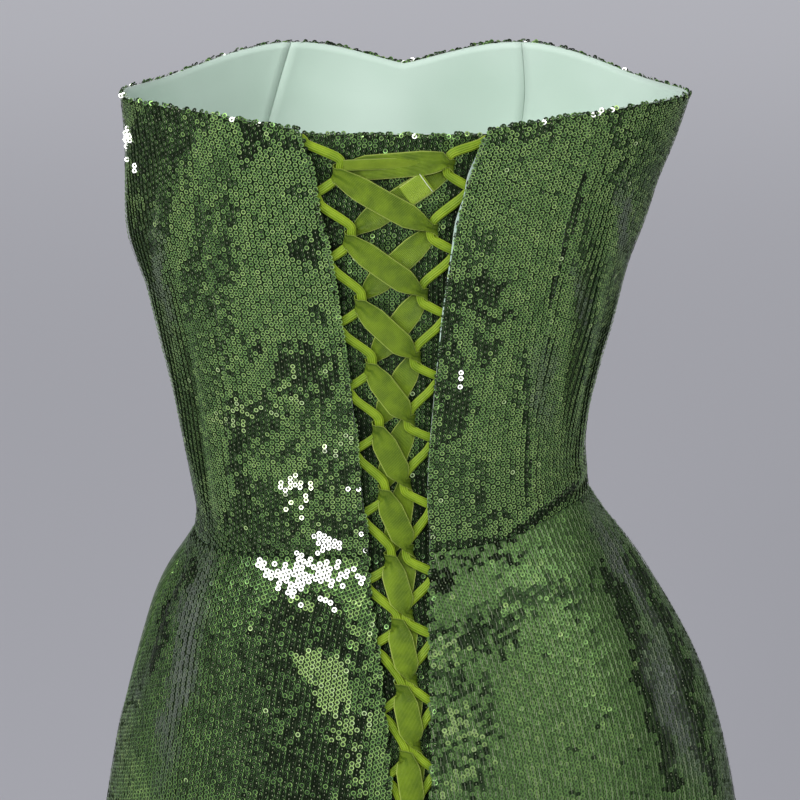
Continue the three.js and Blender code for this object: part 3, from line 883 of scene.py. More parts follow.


# Random patches of painted reflection, dark and bright, for the sides and the front.
def random_patches():
    """Like patches for the sides and the front, which the photograph doesn't show."""
    angle = patch_rng.uniform(96, 264, hidden_patches)
    height = patch_rng.uniform(-290, 250, hidden_patches)
    half_width = patch_rng.uniform(4, 22, hidden_patches)
    half_height = patch_rng.uniform(4, 26, hidden_patches)
    tone = patch_rng.choice([0.05, 0.1, 0.16, 0.24, 0.66], hidden_patches)
    share = patch_rng.uniform(0.45, 0.92, hidden_patches)
    return zip(angle, height, half_width, half_height, tone, share)


hidden_tones = list(random_patches())


def seen_heights(points):
    """Heights as they look from behind and above, where the sides show higher than the back."""
    height = points[:, 2]
    return height + (points[:, 1] + section_at("back", height)) * math.tan(math.radians(camera_pitch))


def streaks(column, level, run, seed):
    """A random share for each run of a column, as the sequins turn together on their thread."""
    cell = np.floor(level / run + 0.37 * column)
    mixed_up = np.sin(column * 12.9898 + cell * 78.233 + seed) * 43758.5453
    return mixed_up - np.floor(mixed_up)


def patch_place(side, height, middle, level, half_width, half_height, lean):
    """How far a point lies from a patch's middle: 1 at the patch's edge."""
    slope = math.radians(lean)
    across = (side - middle) * math.cos(slope) - (height - level) * math.sin(slope)
    along = (side - middle) * math.sin(slope) + (height - level) * math.cos(slope)
    return (abs(across / half_width) ** roundness + abs(along / half_height) ** roundness) ** (1 / roundness)


def tones_for(points, angle, level, column):
    """How bright each sequin is painted: the cloth's own green, but for the patches of painted
    reflection and shade. The second number is a painted sheen: how far its colour is painted grey where
    the cloth turns away and would mirror the grey studio."""
    count = len(points)
    side, height = points[:, 0], seen_heights(points)
    calm = (side, height)
    side = side + wander * np.sin(height / 11 + side / 17) + wander * np.sin(height / 5.3 - side / 9)
    side = side + (streaks(column, level, turned_run, 1) - 0.5) * 2 * patch_edge
    height = height + (streaks(column, level, 400, 2) - 0.5) * 2 * column_edge
    chance = 0.45 * rng.random(count) + 0.55 * streaks(column, level, turned_run, 3)
    tone = plain_tone + rng.normal(0, tone_spread, count) + 0.05 * (streaks(column, level, 16, 4) - 0.5)
    painted_sheen = np.zeros(count)
    behind = abs(signed(angle)) < 100
    for *place, patch, share in zip(*painted_light_patches.values()):
        seen_at = calm if place[2] < narrow_patch else (side, height)
        # The painted tone of a patch goes on the sequins inside it.
        turned = (patch_place(*seen_at, *place) < 1) & (chance < share) & behind
        tone = np.where(turned, patch + rng.normal(0, tone_spread, count), tone)
        if share < 0.9:
            chance = (chance * 7.3 + 0.17 * patch) % 1
    for *place, share in zip(*painted_sheen_bands.values()):
        near = np.exp(-patch_place(side, height, *place) ** 3)
        painted_sheen = np.maximum(painted_sheen, share * near * behind * soft_step(tone, 0.05, 0.3))
    for middle, rise, half_width, half_height, patch, share in hidden_tones:
        arc = np.radians(signed(angle - middle)) * crease_radius
        away = patch_place(arc, height, 0, rise, half_width, half_height, 0)
        turned = (away < 1) & (chance < share) & ~behind
        tone = np.where(turned, patch + rng.normal(0, tone_spread, count), tone)
    stray = rng.random(count)
    tone = np.where(stray < bright_strays, bright_stray, tone)
    tone = np.where(stray > 1 - dark_strays, dark_stray, tone)
    return np.clip(tone, 0, 1), painted_sheen


def circle(count, radius, turn, sunk):
    """Corners round a circle, in radii, and whether the dish sinks there."""
    turns = [2 * math.pi * k / count + turn for k in range(count)]
    return [(radius * math.cos(place), radius * math.sin(place), sunk) for place in turns]


def ring_template():
    """The points of one ring, in radii, and its triangles: an eight-sided rim round a square hole,
    and the stitch that lies across the hole."""
    faces = []
    for k in range(hole_corners):
        inner, following = rim_corners + k, rim_corners + (k + 1) % hole_corners
        first, second, third = 2 * k, 2 * k + 1, (2 * k + 2) % rim_corners
        faces += [(inner, first, second), (inner, second, third), (inner, third, following)]
    stitch = rim_corners + hole_corners
    faces += [(stitch, stitch + 1, stitch + 2), (stitch, stitch + 2, stitch + 3)]
    corners = circle(rim_corners, 1, 0, 0) + circle(hole_corners, hole_share, math.pi / 8, 1)
    return np.array(corners, float), np.array(faces)


ring_points, ring_faces = ring_template()
short_stitch = (0.27, 0.42)
long_stitch = (0.17, 1.3)
short_stitch_rise = 0.12
long_stitch_rise = 0.6
long_stitches = 0.6
# How far the painted rim highlights are toned down on the right back of the skirt.
close_contrast = 0.22


def sequin_mesh(name, centres, around, facing, radius, tone, painted_sheen=0, is_long=False, contrast=1.0):
    """One joined mesh of rings, each at its centre, facing its own way and with its own stitch."""
    count = len(centres)
    around = unit(around - facing * (around * facing).sum(-1, keepdims=True))
    up = np.cross(facing, around)
    is_long = np.broadcast_to(is_long, count)
    # The stitches' tones follow the rings' painted reflection: long threads are painted darker where the
    # foil is painted dark, and short stitches paler there, as painted glints.
    foil_shows = soft_step(tone, 0.15, 0.4)
    long_tone = rng.uniform(0.3, 0.9, count) * (0.3 + 0.7 * foil_shows)
    short_tone = rng.uniform(0, 0.8, count) * (1 - foil_shows * 0.8)
    x, y, low = ring_points.T
    rings = (centres[:, None] + radius * (x[:, None] * around[:, None] + y[:, None] * up[:, None])
             - (dish * low)[:, None] * facing[:, None])
    corners = np.array([(-1, -1), (1, -1), (1, 1), (-1, 1)], float)
    half_width, half_length = np.where(is_long[:, None], long_stitch, short_stitch).T[..., None, None]
    rise = np.where(is_long, long_stitch_rise, short_stitch_rise)[:, None, None]
    threads = (centres[:, None] + corners[:, :1] * half_width * around[:, None]
               + corners[:, 1:] * half_length * up[:, None] + rise * facing[:, None])
    points = np.concatenate([rings, threads], axis=1) * MM
    per_ring = points.shape[1]
    faces = (ring_faces[None] + np.arange(count)[:, None, None] * per_ring).reshape(-1, 3)
    is_thread = np.zeros(len(ring_faces), np.int32)
    is_thread[-2:] = 1
    mesh = bpy.data.meshes.new(name)
    mesh.vertices.add(count * per_ring)
    mesh.loops.add(len(faces) * 3)
    mesh.polygons.add(len(faces))
    for part, key, values, kind in (
            (mesh.vertices, "co", points, np.float32),
            (mesh.loops, "vertex_index", faces, np.int32),
            (mesh.polygons, "loop_start", np.arange(0, len(faces) * 3, 3), np.int32),
            (mesh.polygons, "use_smooth", np.ones(len(faces)), bool),
            (mesh.polygons, "material_index", np.tile(is_thread, count), np.int32)):
        part.foreach_set(key, values.reshape(-1).astype(kind))
    flat = np.concatenate([ring_points[:, :2], np.zeros((4, 2))]) * 0.5 + 0.5
    layer = mesh.uv_layers.new(name="ring")
    ring_map = np.tile(flat[ring_faces.reshape(-1)], (count, 1))
    layer.data.foreach_set("uv", ring_map.reshape(-1).astype(np.float32))
    carried_values = {"tone": tone, "painted_sheen": painted_sheen, "chance": rng.random(count), "contrast": contrast}
    for key, values in carried_values.items():
        carried = mesh.attributes.new(key, "FLOAT", "POINT")
        values = np.repeat(np.broadcast_to(values, count), per_ring).reshape(count, per_ring)
        if key == "tone":
            values[:, -4:] = np.where(is_long, long_tone, short_tone)[:, None]
        carried.data.foreach_set("value", values.reshape(-1).astype(np.float32))
    mesh.update()
    mesh.validate()
    return mesh


foil, shade = new_finish("sequin_foil")
x, y, _ = shade.uv("ring")
reach = ((x - 0.5).power(2) + (y - 0.5).power(2)).power(0.5) * 2
tone = shade.seen("tone")
chance = shade.seen("chance")
contrast = shade.seen("contrast")
# Painted highlight: a bright band round each ring's rim, toned down where contrast is low.
rim = reach.between(0.48, 0.66) * (1 - reach.between(0.84, 0.99)) * contrast
turn = 5.2 + chance * 1.5
# Painted glint: a brighter crescent on one side of the rim, strongest on dark rings.
crescent = ((x - 0.5) * turn.wave("COSINE") + (y - 0.5) * turn.wave()).between(0.12, 0.42) * rim
crescent = crescent * chance.between(0.1, 0.7)
crescent = crescent * (0.3 - tone.between(0.25, 0.45) * 0.22)
dark = 1 - tone.between(0.1, 0.4)
lit = tone + (chance - 0.5) * 0.06 + rim * (0.1 + dark * 0.06) + crescent - 0.05
colour = lit.ramp(foil_and_reflection_stops)
colour = colour.scaled(1.28 - contrast * 0.88 + rim * 1.4)
# The painted sheen mixes the rings' colour towards grey.
shade.finish(
    {"Coat Roughness": 0.22, "Specular IOR Level": 0.04},
    Coat_Weight=tone.between(0.1, 0.5) * 0.16,
    Base_Color=shade.seen("painted_sheen").mix(colour, painted_sheen_grey),
    Metallic=(0.62 + 0.2 * chance) * tone.between(0.0, 0.35),
    Roughness=0.3 + 0.14 * chance)

# The thread's colour follows its painted tone, dark to pale.
dark_thread = (0.02, 0.035, 0.02, 1)
bright_thread = (0.36, 0.42, 0.25, 1)
thread, shade = new_finish("sequin_thread")
shade.finish({"Roughness": 0.7}, Base_Color=shade.seen("tone").mix(dark_thread, bright_thread))

# A spark is a ring that faces midway between the lamp and the camera, and its colour is painted near white,
# a painted highlight.
spark_way = unit(unit(np.array(camera_place)) + unit(np.array(lamp_place)))
past_edge = 0.7
under_top = 1.2


def place_sequins(in_skirt, low, high, left, right, pitch, top=None):
    """Staggered rows between two edges, measured along the cloth from the panel's middle."""
    angles, levels, columns = [], [], []
    fine = np.linspace(0, 1, 200)[None, :]
    for j, level in enumerate(np.arange(low, high, pitch[1] / 2)):
        row_angles = mixed(left(level), right(level), fine)
        lengths = arc_lengths(on_body(in_skirt, row_angles, level + 0 * row_angles))[0]
        half = lengths[-1] + past_edge
        count = int(half / pitch[0]) + 1
        column = np.arange(-count, count + 1)
        column = column[(column % 2) == (j % 2)]
        spot = column * pitch[0]
        column, spot = column[abs(spot) < half], spot[abs(spot) < half]
        angle = np.interp(spot, lengths, row_angles[0])
        if top is not None:
            kept = level < top(angle) - under_top
            angle, column = angle[kept], column[kept]
        angles.append(angle)
        columns.append(column)
        levels.append(np.full(len(angle), level))
    return np.concatenate(angles), np.concatenate(levels), np.concatenate(columns)


def sew_sequins(name, in_skirt, spots, pitch, dip_at, long_threads=False):
    """One piece of rings that lie on a panel, each turned a little differently and painted its own tone of
    reflection.
    """
    angle, level, column = spots
    count = len(angle)
    level = level + rng.normal(0, along_wander, count)
    angle = angle + np.degrees(rng.normal(0, aside_wander, count) / crease_radius)
    around, up, outward = directions(in_skirt, angle, level)
    out = creases_at(angle, level) - dip_at(angle, level) + sequin_lift
    if in_skirt:
        out = out + ripples_at(angle, level)
    centres = on_body(in_skirt, angle, level) + outward * out[:, None]
    tone, painted_sheen = tones_for(centres, angle, level, column)
    aside = rng.normal(0, sewn_tilt, count)
    along = rng.normal(0, sewn_tilt, count) - shingle
    facing = unit(outward + around * aside[:, None] + up * along[:, None])
    to_spark = unit(spark_way + 0.09 * facing + rng.normal(0, spark_spread, (count, 3)))
    facing = np.where((tone > spark_tone)[:, None], to_spark, facing)
    is_long = (rng.random(count) < long_stitches) & long_threads
    contrast = close_contrast if long_threads else 1.0
    mesh = sequin_mesh(name, centres, around, facing, ring_share * pitch[0], tone, painted_sheen, is_long, contrast)
    return add_piece(name, mesh, "sequined_cloth", foil, thread)


def edge_dips(edges):
    """How far the cloth dips at its seams, for a sequin at an angle and a level."""
    def dip_at(angle, level):
        away = abs(level)
        for edge in edges:
            away = np.minimum(away, np.radians(abs(signed(angle - edge(level)))) * crease_radius)
        return dip_from(away)
    return dip_at


from_waist = 0.9
over_top = 262
for panel, (left, right, _) in bodice_panels.items():
    edges = (partial(seam_angle, left), partial(seam_angle, right))
    spots = place_sequins(False, from_waist, over_top, *edges, bodice_pitch, top_at)
    seamed = [edge for edge in edges if edge.args[0] not in ("left", "right")]
    rings = sew_sequins(f"sequins_bodice_{panel}", False, spots, bodice_pitch, edge_dips(seamed))

for panel, (left, right, _) in skirt_panels.items():
    with_pieces = []
    if panel != "front":
        close = panel == "back_right"
        edges = (partial(skirt_edge, left), partial(skirt_edge, right))
        pitch = close_pitch if close else skirt_pitch
        spots = place_sequins(True, covered_to, -from_waist, *edges, pitch)
        kept = rng.random(len(spots[1])) < soft_step(spots[1], covered_to, covered_from)
        spots = [values[kept] for values in spots]
        with_pieces = [
            sew_sequins(f"sequins_skirt_{panel}", True, spots, skirt_pitch, edge_dips(edges), close)]

# Edge sequins: the cloth is turned in along its top and its opening, so the sequins there
# tumble over the fold and stand up, each its own way.
edge_step = 1.5
edge_radius = 1.5
# Each edge ring is painted a tone at random, from painted dark reflection to a painted white spark.
edge_tones = [0.06, 0.18, 0.4, 0.5, 0.62, 0.95]
edge_shares = [0.33, 0.25, 0.2, 0.13, 0.07, 0.02]
opening_shares = [0.5, 0.28, 0.14, 0.07, 0.01, 0]
hands = {"left": -1, "right": 1}


def tumbled_sequins(name, centres, around, up, outward, rise, shares):
    """Rings along an edge, turned at random. rise leans them to the up direction."""
    count = len(centres)
    centres = centres + outward * rng.uniform(-1.0, 1.0, (count, 1))
    centres = centres + up * rng.uniform(-1.2, 1.0, (count, 1))
    facing = unit(outward + up * (rise * rng.uniform(-0.1, 1.3, (count, 1)))
                  + around * rng.normal(0, 0.4, (count, 1)))
    tone = rng.choice(edge_tones, count, p=shares)
    facing = np.where((tone > spark_tone)[:, None], spark_way, facing)
    mesh = sequin_mesh(name, centres, around, facing, edge_radius, tone)
    return add_piece(name, mesh, "sequined_cloth", foil, thread)


corner_height = 252.0
top_radius = 150
edge_angle = np.arange(-180, 180, np.degrees(edge_step / top_radius))
open_left, open_right = (back_angle(opening_at(corner_height, hand), corner_height) for hand in hands)
edge_angle = edge_angle[(edge_angle < open_left) | (edge_angle > open_right)]
edge_place = (False, edge_angle, top_at(edge_angle))
tumbled_sequins("sequins_top_edge", on_body(*edge_place), *directions(*edge_place), 1, edge_shares)


def over_back(side, height, out):
    """A point over the open back, at a distance to the side of the section's middle."""
    side, height, out = np.broadcast_arrays(*(np.asarray(v, float) for v in (side, height, out)))
    angle = back_angle(side, height)
    skirt = off_body(True, angle, np.minimum(height, 0), out)
    bodice = off_body(False, angle, np.maximum(height, 0), out)
    return np.where((height < 0)[..., None], skirt, bodice)


def back_ways(side, height, out):
    """The directions to the side, up and out at points over the open back."""
    place = over_back(side, height, out)
    to_side = unit(over_back(side + 1, height, out) - place)
    to_up = unit(over_back(side, height + 1, out) - place)
    to_out = unit(np.cross(to_side, to_up))
    return to_side, np.cross(to_out, to_side), to_out


opening_reach = (-224, 250)
opening_step = 2.4
opening_inset = 1.1
opening_lift = 0.3
opening_lean = 0.7
edge_height = np.arange(*opening_reach, opening_step)
for hand, way in hands.items():
    edge_side = opening_at(edge_height, hand) + way * opening_inset
    to_side, to_up, to_out = back_ways(edge_side, edge_height, 0)
    tumbled_sequins(
        f"sequins_opening_{hand}", over_back(edge_side, edge_height, opening_lift),
        to_up, -way * to_side, to_out, opening_lean, opening_shares)

# Modesty panel: a strip of the same sequined net that fills the opening behind the lacing. It is
# sewn under both back panels.
modesty_top = 246.5
modesty_end = -240
modesty_margin = 24
modesty_drop = 8
modesty_under = 2.75
modesty_rise = (0.45, 0.95)
modesty_wall = 1.3
modesty_lift = 0.7
modesty_tones = (0.44, 0.13)
modesty_tilt = 0.12
modesty_columns = 26
rings_under = 6
shade_reach = (1, 9)
shade_depth = 0.75


def modesty_level(side, height):
    """How far out the panel lies: low behind the lacing, and close under the opening's edges."""
    outside = np.maximum(opening_at(height, "left") - side, side - opening_at(height, "right"))
    rise = soft_step(np.maximum(outside, 0) / modesty_margin, *modesty_rise)
    return -mixed(modesty_drop, modesty_under, rise)


rows = np.linspace(modesty_end, modesty_top, 121)[:, None]
share = np.linspace(0, 1, 29)[None, :]
side = mixed(opening_at(rows, "left") - modesty_margin, opening_at(rows, "right") + modesty_margin, share)
buckle = 0.35 * np.sin(rows / 9) * np.sin(side / 7 + rows / 31)
modesty_points = over_back(side, rows + 0 * side, modesty_level(side, rows) + buckle)
modesty = cloth_panel("cloth_modesty", modesty_points, np.ones(side.shape), bodice_cloth)
modesty.modifiers["wall"].thickness = modesty_wall * MM
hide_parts("modesty_panel")

half_rows = np.arange(modesty_end + 3, modesty_top - 1, bodice_pitch[1] / 2)
spots = []
for j, height in enumerate(half_rows):
    column = np.arange(-modesty_columns, modesty_columns + 1)
    spot = column[(column % 2) == (j % 2)] * bodice_pitch[0]
    low, high = opening_at(height, "left") - rings_under, opening_at(height, "right") + rings_under
    kept = (spot > low) & (spot < high)
    spots.append(np.stack([spot[kept], np.full(kept.sum(), height)]))
side, height = np.concatenate(spots, axis=1)
count = len(side)
level = modesty_level(side, height) + modesty_lift
to_side, to_up, to_out = back_ways(side, height, level)
tilt_aside = rng.normal(0, modesty_tilt, (count, 1))
tilt_along = rng.normal(-shingle, modesty_tilt, (count, 1))
facing = unit(to_out + to_side * tilt_aside + to_up * tilt_along)
# Blotches of painted dark reflection on the panel's rings.
blotch = np.sin(height / 11 + side / 9) + np.sin(height / 23 - side / 13)
tone = np.where(blotch + rng.normal(0, 0.5, count) > 0.1, *modesty_tones) + rng.normal(0, 0.04, count)
tone = np.where(rng.random(count) > 0.99, 0.7, tone)
# Painted shadow: the rings are darker close under both edges of the opening.
in_shade = 1 - soft_step(side - opening_at(height, "left"), *shade_reach)
in_shade = in_shade + 1 - soft_step(opening_at(height, "right") - side, *shade_reach)
tone = np.clip(tone * (1 - shade_depth * np.clip(in_shade, 0, 1)), 0, 1)
mesh = sequin_mesh("sequins_modesty", over_back(side, height, level), to_side, facing, edge_radius, tone)
modesty_rings = add_piece("sequins_modesty", mesh, "sequined_cloth", foil, thread)
edge_side = np.arange(opening_at(modesty_top, "left"), opening_at(modesty_top, "right"), edge_step)
edge_height = np.full(len(edge_side), modesty_top - 0.3)
edge_place = (edge_side, edge_height, np.full(len(edge_side), -modesty_drop + 0.4))
tumbled_sequins("sequins_modesty_edge", over_back(*edge_place), *back_ways(*edge_place), 1, edge_shares)

# Facing: a strip of the lining that binds the right edge of the opening. Its fold shows there as
# a thin pale line, and the rest of it lies under the edge.
facing_width = 12
facing_shows = 1.3
facing_ends = (110, 246)
facing_under = 0.75
facing_tuck = 1.2
rows = np.linspace(*facing_ends, 91)[:, None]
share = np.linspace(0, 1, 9)[None, :] ** 1.8
slack = 0.55 + 0.45 * np.sin(rows / 7 + 1.4 * np.sin(rows / 17))
shows = facing_shows * slack * soft_step(rows, facing_ends[0] - 20, facing_ends[1] - 10)
side = opening_at(rows, "right") - shows + facing_width * share
height = rows + 0 * side
facing_points = over_back(side, height, -facing_under - facing_tuck * soft_step(share, 0, 0.25))
facing_mesh = make_grid("opening_facing", facing_points, np.stack([side, height], -1) * MM)
facing_strip = add_piece("opening_facing", facing_mesh, "lining", lining)

# Lacing loops: rouleaux of lime satin, cut on the bias, turned right side out and sewn under both
# edges of the opening. Each has a long leg above its tip and a short one below.
loop_count = 12
loop_pitch = 38
first_tip = {"left": 226, "right": 229}
loop_reach = 13.5
first_reach = {"left": 14.5, "right": 14}
loop_rise = 21
loop_fall = 11
loop_top = 243
loop_width = 5.3
loop_thickness = 2.7
loop_level = -3.9
loop_meeting_gap = 0.8
tip_half = 5
tip_corner = 2.6
cord_width = 4.2


def lime_finish(name, ribs, low, middle, high):
    """Lime satin with fine ribs along it. Its folded edges are paler than its middle. Its colour is
    painted darker towards one edge and in the grooves of its gathered pleats, as painted shade.
    """
    made, shade = new_finish(name)
    across, length, _ = shade.uv()
    rib = (across * ribs).wave()
    cord = (length * 5200.0).wave()
    cloudy = shade.noise(120, detail=3.0).between(0.3, 0.7)
    edge = (across * across).between(0.78, 0.97)
    # Painted shade in the grooves of the pleats where the ribbon is gathered.
    pleat = (across * 6.3 + 1.2).wave().between(-0.2, 0.95) * shade.seen("gather")
    # Painted shade: darker towards one edge of the band.
    turned = across.between(-1.0, 0.8)
    colour = ((cloudy * 0.65 + turned * 0.35) * (1 - pleat * 0.7)).mix(low, middle)
    colour = (edge * 0.7 + rib.between(0.1, 1.0) * 0.28 * (1 - pleat * 0.7)).mix(colour, high)
    shade.finish(
        {"Specular IOR Level": 0.2},
        Base_Color=colour,
        Roughness=0.42 + rib * 0.06,
        Normal=shade.bump(rib * 0.00014 + cord * 0.00003 * cloudy))
    return made


rouleau = lime_finish(
    "rouleau_satin", 13.0, (0.12, 0.22, 0.006, 1), (0.26, 0.39, 0.013, 1), (0.48, 0.60, 0.09, 1))
lace_satin = lime_finish(
    "lace_satin", 58.0, (0.055, 0.115, 0.002, 1), (0.165, 0.27, 0.005, 1), (0.50, 0.61, 0.13, 1))
# A lighter copy of the lace satin for the bar's fold and the join: painted light on the same ribbon.
lit_lace_satin = lime_finish(
    "lit_lace_satin", 58.0, (0.17, 0.28, 0.008, 1), (0.29, 0.43, 0.020, 1), (0.62, 0.73, 0.22, 1))


def loop_tip(hand, k):
    """Where the tip of a side's loop lies, counted from the top. The loops never meet."""
    height = first_tip[hand] - k * loop_pitch
    left_edge, right_edge = opening_at(height, "left"), opening_at(height, "right")
    room = (right_edge - left_edge - cord_width - loop_meeting_gap) / 2
    wanted = first_reach[hand] if k == 0 else loop_reach
    return opening_at(height, hand) - hands[hand] * min(wanted, room), height


def smooth_path(places, steps):
    """A smooth curve through places, with steps from each to the next."""
    places = np.array(places, float)
    ends = np.concatenate([2 * places[:1] - places[1:2], places, 2 * places[-1:] - places[-2:-1]])
    share = np.linspace(0, 1, steps, endpoint=False)[:, None]
    path = []
    for before, first, second, after in zip(ends, ends[1:], ends[2:], ends[3:]):
        path.append(0.5 * (2 * first + (second - before) * share
                           + (2 * before - 5 * first + 4 * second - after) * share**2
                           + (3 * first - before - 3 * second + after) * share**3))
    return np.concatenate([*path, places[-1:]])


def sweep(name, points, width_ways, widths, thickness, section, gather=0.0):
    """A closed band along points. section gives its outline in half widths and half thicknesses."""
    along = unit(np.gradient(points, axis=0))
    width_ways = unit(width_ways - along * (width_ways * along).sum(-1, keepdims=True))
    thick_ways = np.cross(along, width_ways)
    sides, heights = section
    band = (points[:, None] + width_ways[:, None] * (sides * widths[:, None] / 2)[..., None]
            + thick_ways[:, None] * (heights * thickness / 2)[..., None])
    length = np.concatenate([[0], np.cumsum(np.linalg.norm(np.diff(points, axis=0), axis=1))]) * MM
    uv = np.stack(np.broadcast_arrays(sides, length[:, None]), -1)
    gather = np.broadcast_to(np.reshape(gather, (-1, 1)), band.shape[:2])
    return make_grid(name, band, uv, closed=True, gather=gather), length[-1] / MM


def joined(name, *meshes):
    """One mesh of several, which keeps the finish that each is given by its number."""
    bm = bmesh.new()
    for mesh, finish in meshes:
        first = len(bm.faces)
        bm.from_mesh(mesh)
        bm.faces.ensure_lookup_table()
        for face in bm.faces[first:]:
            face.material_index = finish
        bpy.data.meshes.remove(mesh)
    whole = bpy.data.meshes.new(name)
    bm.to_mesh(whole)
    bm.free()
    return whole


round_turn = np.linspace(0, 2 * np.pi, 15)
round_section = (np.cos(round_turn)[None, :], np.sin(round_turn)[None, :])

for hand, way in hands.items():
    loop_meshes = []
    for k in range(loop_count):
        side, height = loop_tip(hand, k)
        top, end = min(height + loop_rise, loop_top), height - loop_fall
        edge_top, edge_end = opening_at(top, hand), opening_at(end, hand)
        steep = ((top - height) / loop_rise) ** 2
        places = [
            (edge_top + way * 3.5, top + steep * 3.5, loop_level + 0.3),
            (edge_top + way * 1.2, top + steep * 0.6, loop_level),
            (edge_top - way * 2.4, top - steep * 3.6, loop_level),
            (side + way * 1.9, height + tip_half + 2.6, loop_level),
            (side, height + tip_half - tip_corner, loop_level),
            (side, height - tip_half + tip_corner, loop_level),
            (side + way * 2.2, height - tip_half - 0.6, loop_level),
            (edge_end - way * 1, end, loop_level),
            (edge_end + way * 3.2, end - 1.6, loop_level),
            (edge_end + way * 5, end - 2.4, loop_level + 0.3),
        ]
        route = smooth_path(places, 6)
        points = over_back(*route.T)
        outward = unit(over_back(*(route + (0, 0, 1)).T) - points)
        width_ways = np.cross(outward, unit(np.gradient(points, axis=0)))
        widths = np.full(len(points), loop_width) * (1 + 0.05 * np.sin(np.arange(len(points)) * 0.5 + k))
        mesh, _ = sweep("loop", points, width_ways, widths, loop_thickness, round_section)
        loop_meshes.append((mesh, 0))
    name = f"rouleau_loops_{hand}"
    loops = add_piece(name, joined(name, *loop_meshes), "lace_loop", rouleau)
    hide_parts(f"lace_loops_{hand}")

# Lace: one flat ribbon of lime satin. It starts at the knot, climbs one strand to the bar across
# the top and comes down the other, folded round every loop, and narrows where a loop grips it.
ribbon_width = 14.5
ribbon_upper_end = 9.6
ribbon_lower_end = 4.6
bar_tilt = 1.6
ribbon_wall = 0.8
ribbon_margin = 5
ribbon_clear = 0.75
half_solid_wall = 0.6
wrap_slant = 2.2
over_bow = 0.6
under_bow = 1.1
wrap_radius = loop_thickness / 2 + ribbon_clear + half_solid_wall
wrap_reach = cord_width / 2 + ribbon_clear + half_solid_wall


def tip_places(hand, k):
    """The places round one tip, from where the ribbon comes to where it leaves, going down."""
    side, height = loop_tip(hand, k)
    way = hands[hand]
    turns = np.radians(np.linspace(-90, 90, 7))
    return np.stack([
        side + way * np.cos(turns) * wrap_reach,
        height - np.sin(turns) * wrap_slant,
        loop_level - way * np.sin(turns) * wrap_radius], -1)


tips = [("right" if k % 2 == 0 else "left", k, True) for k in reversed(range(loop_count))]
tips += [("left" if k % 2 == 0 else "right", k, False) for k in range(loop_count)]
wraps = [tip_places(hand, k)[::-1] if rising else tip_places(hand, k) for hand, k, rising in tips]
stations, widths, gathers = [], [], []
run_shares = np.array([0.06, 0.14, 0.24, 0.36, 0.5, 0.64, 0.76, 0.86, 0.94])
for n, wrap in enumerate(wraps):
    for i, place in enumerate(wrap):
        stations.append(place)
        below = i / (len(wrap) - 1) if wrap[0][1] > wrap[-1][1] else 1 - i / (len(wrap) - 1)
        widths.append(mixed(ribbon_lower_end, ribbon_upper_end, below))
        gathers.append(1.0)
    if n + 1 < len(wraps):
        start, end = wrap[-1], wraps[n + 1][0]
        for share in run_shares:
            place = mixed(start, end, share)
            place[2] += np.sin(np.pi * share) * (over_bow if start[2] > loop_level else under_bow)
            if n + 1 == loop_count:
                place[1] += mixed(bar_tilt, -bar_tilt, share)
            opening = opening_at(place[1], "right") - opening_at(place[1], "left")
            full = min(ribbon_width, opening - ribbon_margin)
            swell = soft_step(min(share, 1 - share), -0.04, 0.26)
            stations.append(place)
            upper = (share < 0.5) == (start[1] > end[1])
            grip = ribbon_upper_end if upper else ribbon_lower_end
            widths.append(mixed(min(grip, full), full, swell))
            gathers.append(1 - swell)
stations, widths, gathers = np.array(stations), np.array(widths), np.array(gathers)
ribbon_points = over_back(*stations.T)
side_way = unit(over_back(*(stations + (1, 0, 0)).T) - ribbon_points)
up_way = unit(over_back(*(stations + (0, 1, 0)).T) - ribbon_points)
run = np.gradient(stations[:, :2], axis=0)
run = run / np.maximum(np.linalg.norm(run, axis=1, keepdims=True), 1e-6)
lean = np.stack([-run[:, 1], run[:, 0]], -1)
lean = np.where(lean[:, 1:] > 0, -lean, lean)
lean = mixed(lean, np.array([[0.0, -1.0]]), (gathers**2 * 0.8)[:, None])
for _ in range(2):
    lean[1:-1] = (lean[:-2] + 2 * lean[1:-1] + lean[2:]) / 4
width_ways = unit(side_way * lean[:, :1] + up_way * lean[:, 1:])
flips = np.cumprod(np.where((width_ways[1:] * width_ways[:-1]).sum(-1) < 0, -1, 1))
width_ways[1:] *= flips[:, None]

# The ribbon's section goes across its upper face and back under it, and is thinner at its edges.
ribbon_columns = np.linspace(-1, 1, 17)
over_side = np.concatenate([ribbon_columns, ribbon_columns[::-1], ribbon_columns[:1]])[None, :]
face = np.repeat([1.0, -1.0, 1.0], [len(ribbon_columns), len(ribbon_columns), 1])[None, :]
thin_edge = 1 - 0.55 * over_side**6
pleat = np.cos(over_side * np.pi * 1.5) * 1.4
crown = (1 - over_side**2) * 2.6
outward = back_ways(*stations.T)[2]
faced = np.sign((np.cross(unit(np.gradient(ribbon_points, axis=0)), width_ways) * outward).sum(-1))
gathered = gathers[:, None] * (1 - gathers[:, None]) * 4
ribbon_heights = face * thin_edge + faced[:, None] * (pleat * gathered + crown * (1 - gathers[:, None]))
ribbon_section = (over_side + 0 * ribbon_heights, ribbon_heights)
lace_mesh, lace_length = sweep(
    "lacing_satin", ribbon_points, width_ways, widths, ribbon_wall, ribbon_section, gathers)


def along_run(first, last, shares, shift, out, width, thickness):
    """A short band over the lace between two tips, from one share of the way to another."""
    share = np.linspace(*shares, 14)[:, None]
    start, stop = np.array([*loop_tip(*first), loop_level]), np.array([*loop_tip(*last), loop_level])
    places = mixed(start, stop, share) + np.array([0, shift, out])
    points = over_back(*places.T)
    to_side, to_up, _ = back_ways(*places.T)
    across = unit(np.array([start[1] - stop[1], stop[0] - start[0]]))
    ways = to_side * across[0] + to_up * across[1]
    heights = face * thin_edge + crown
    section = (over_side + 0 * heights, heights)
    return sweep("band", points, ways, np.full(len(points), width), thickness, section)[0]


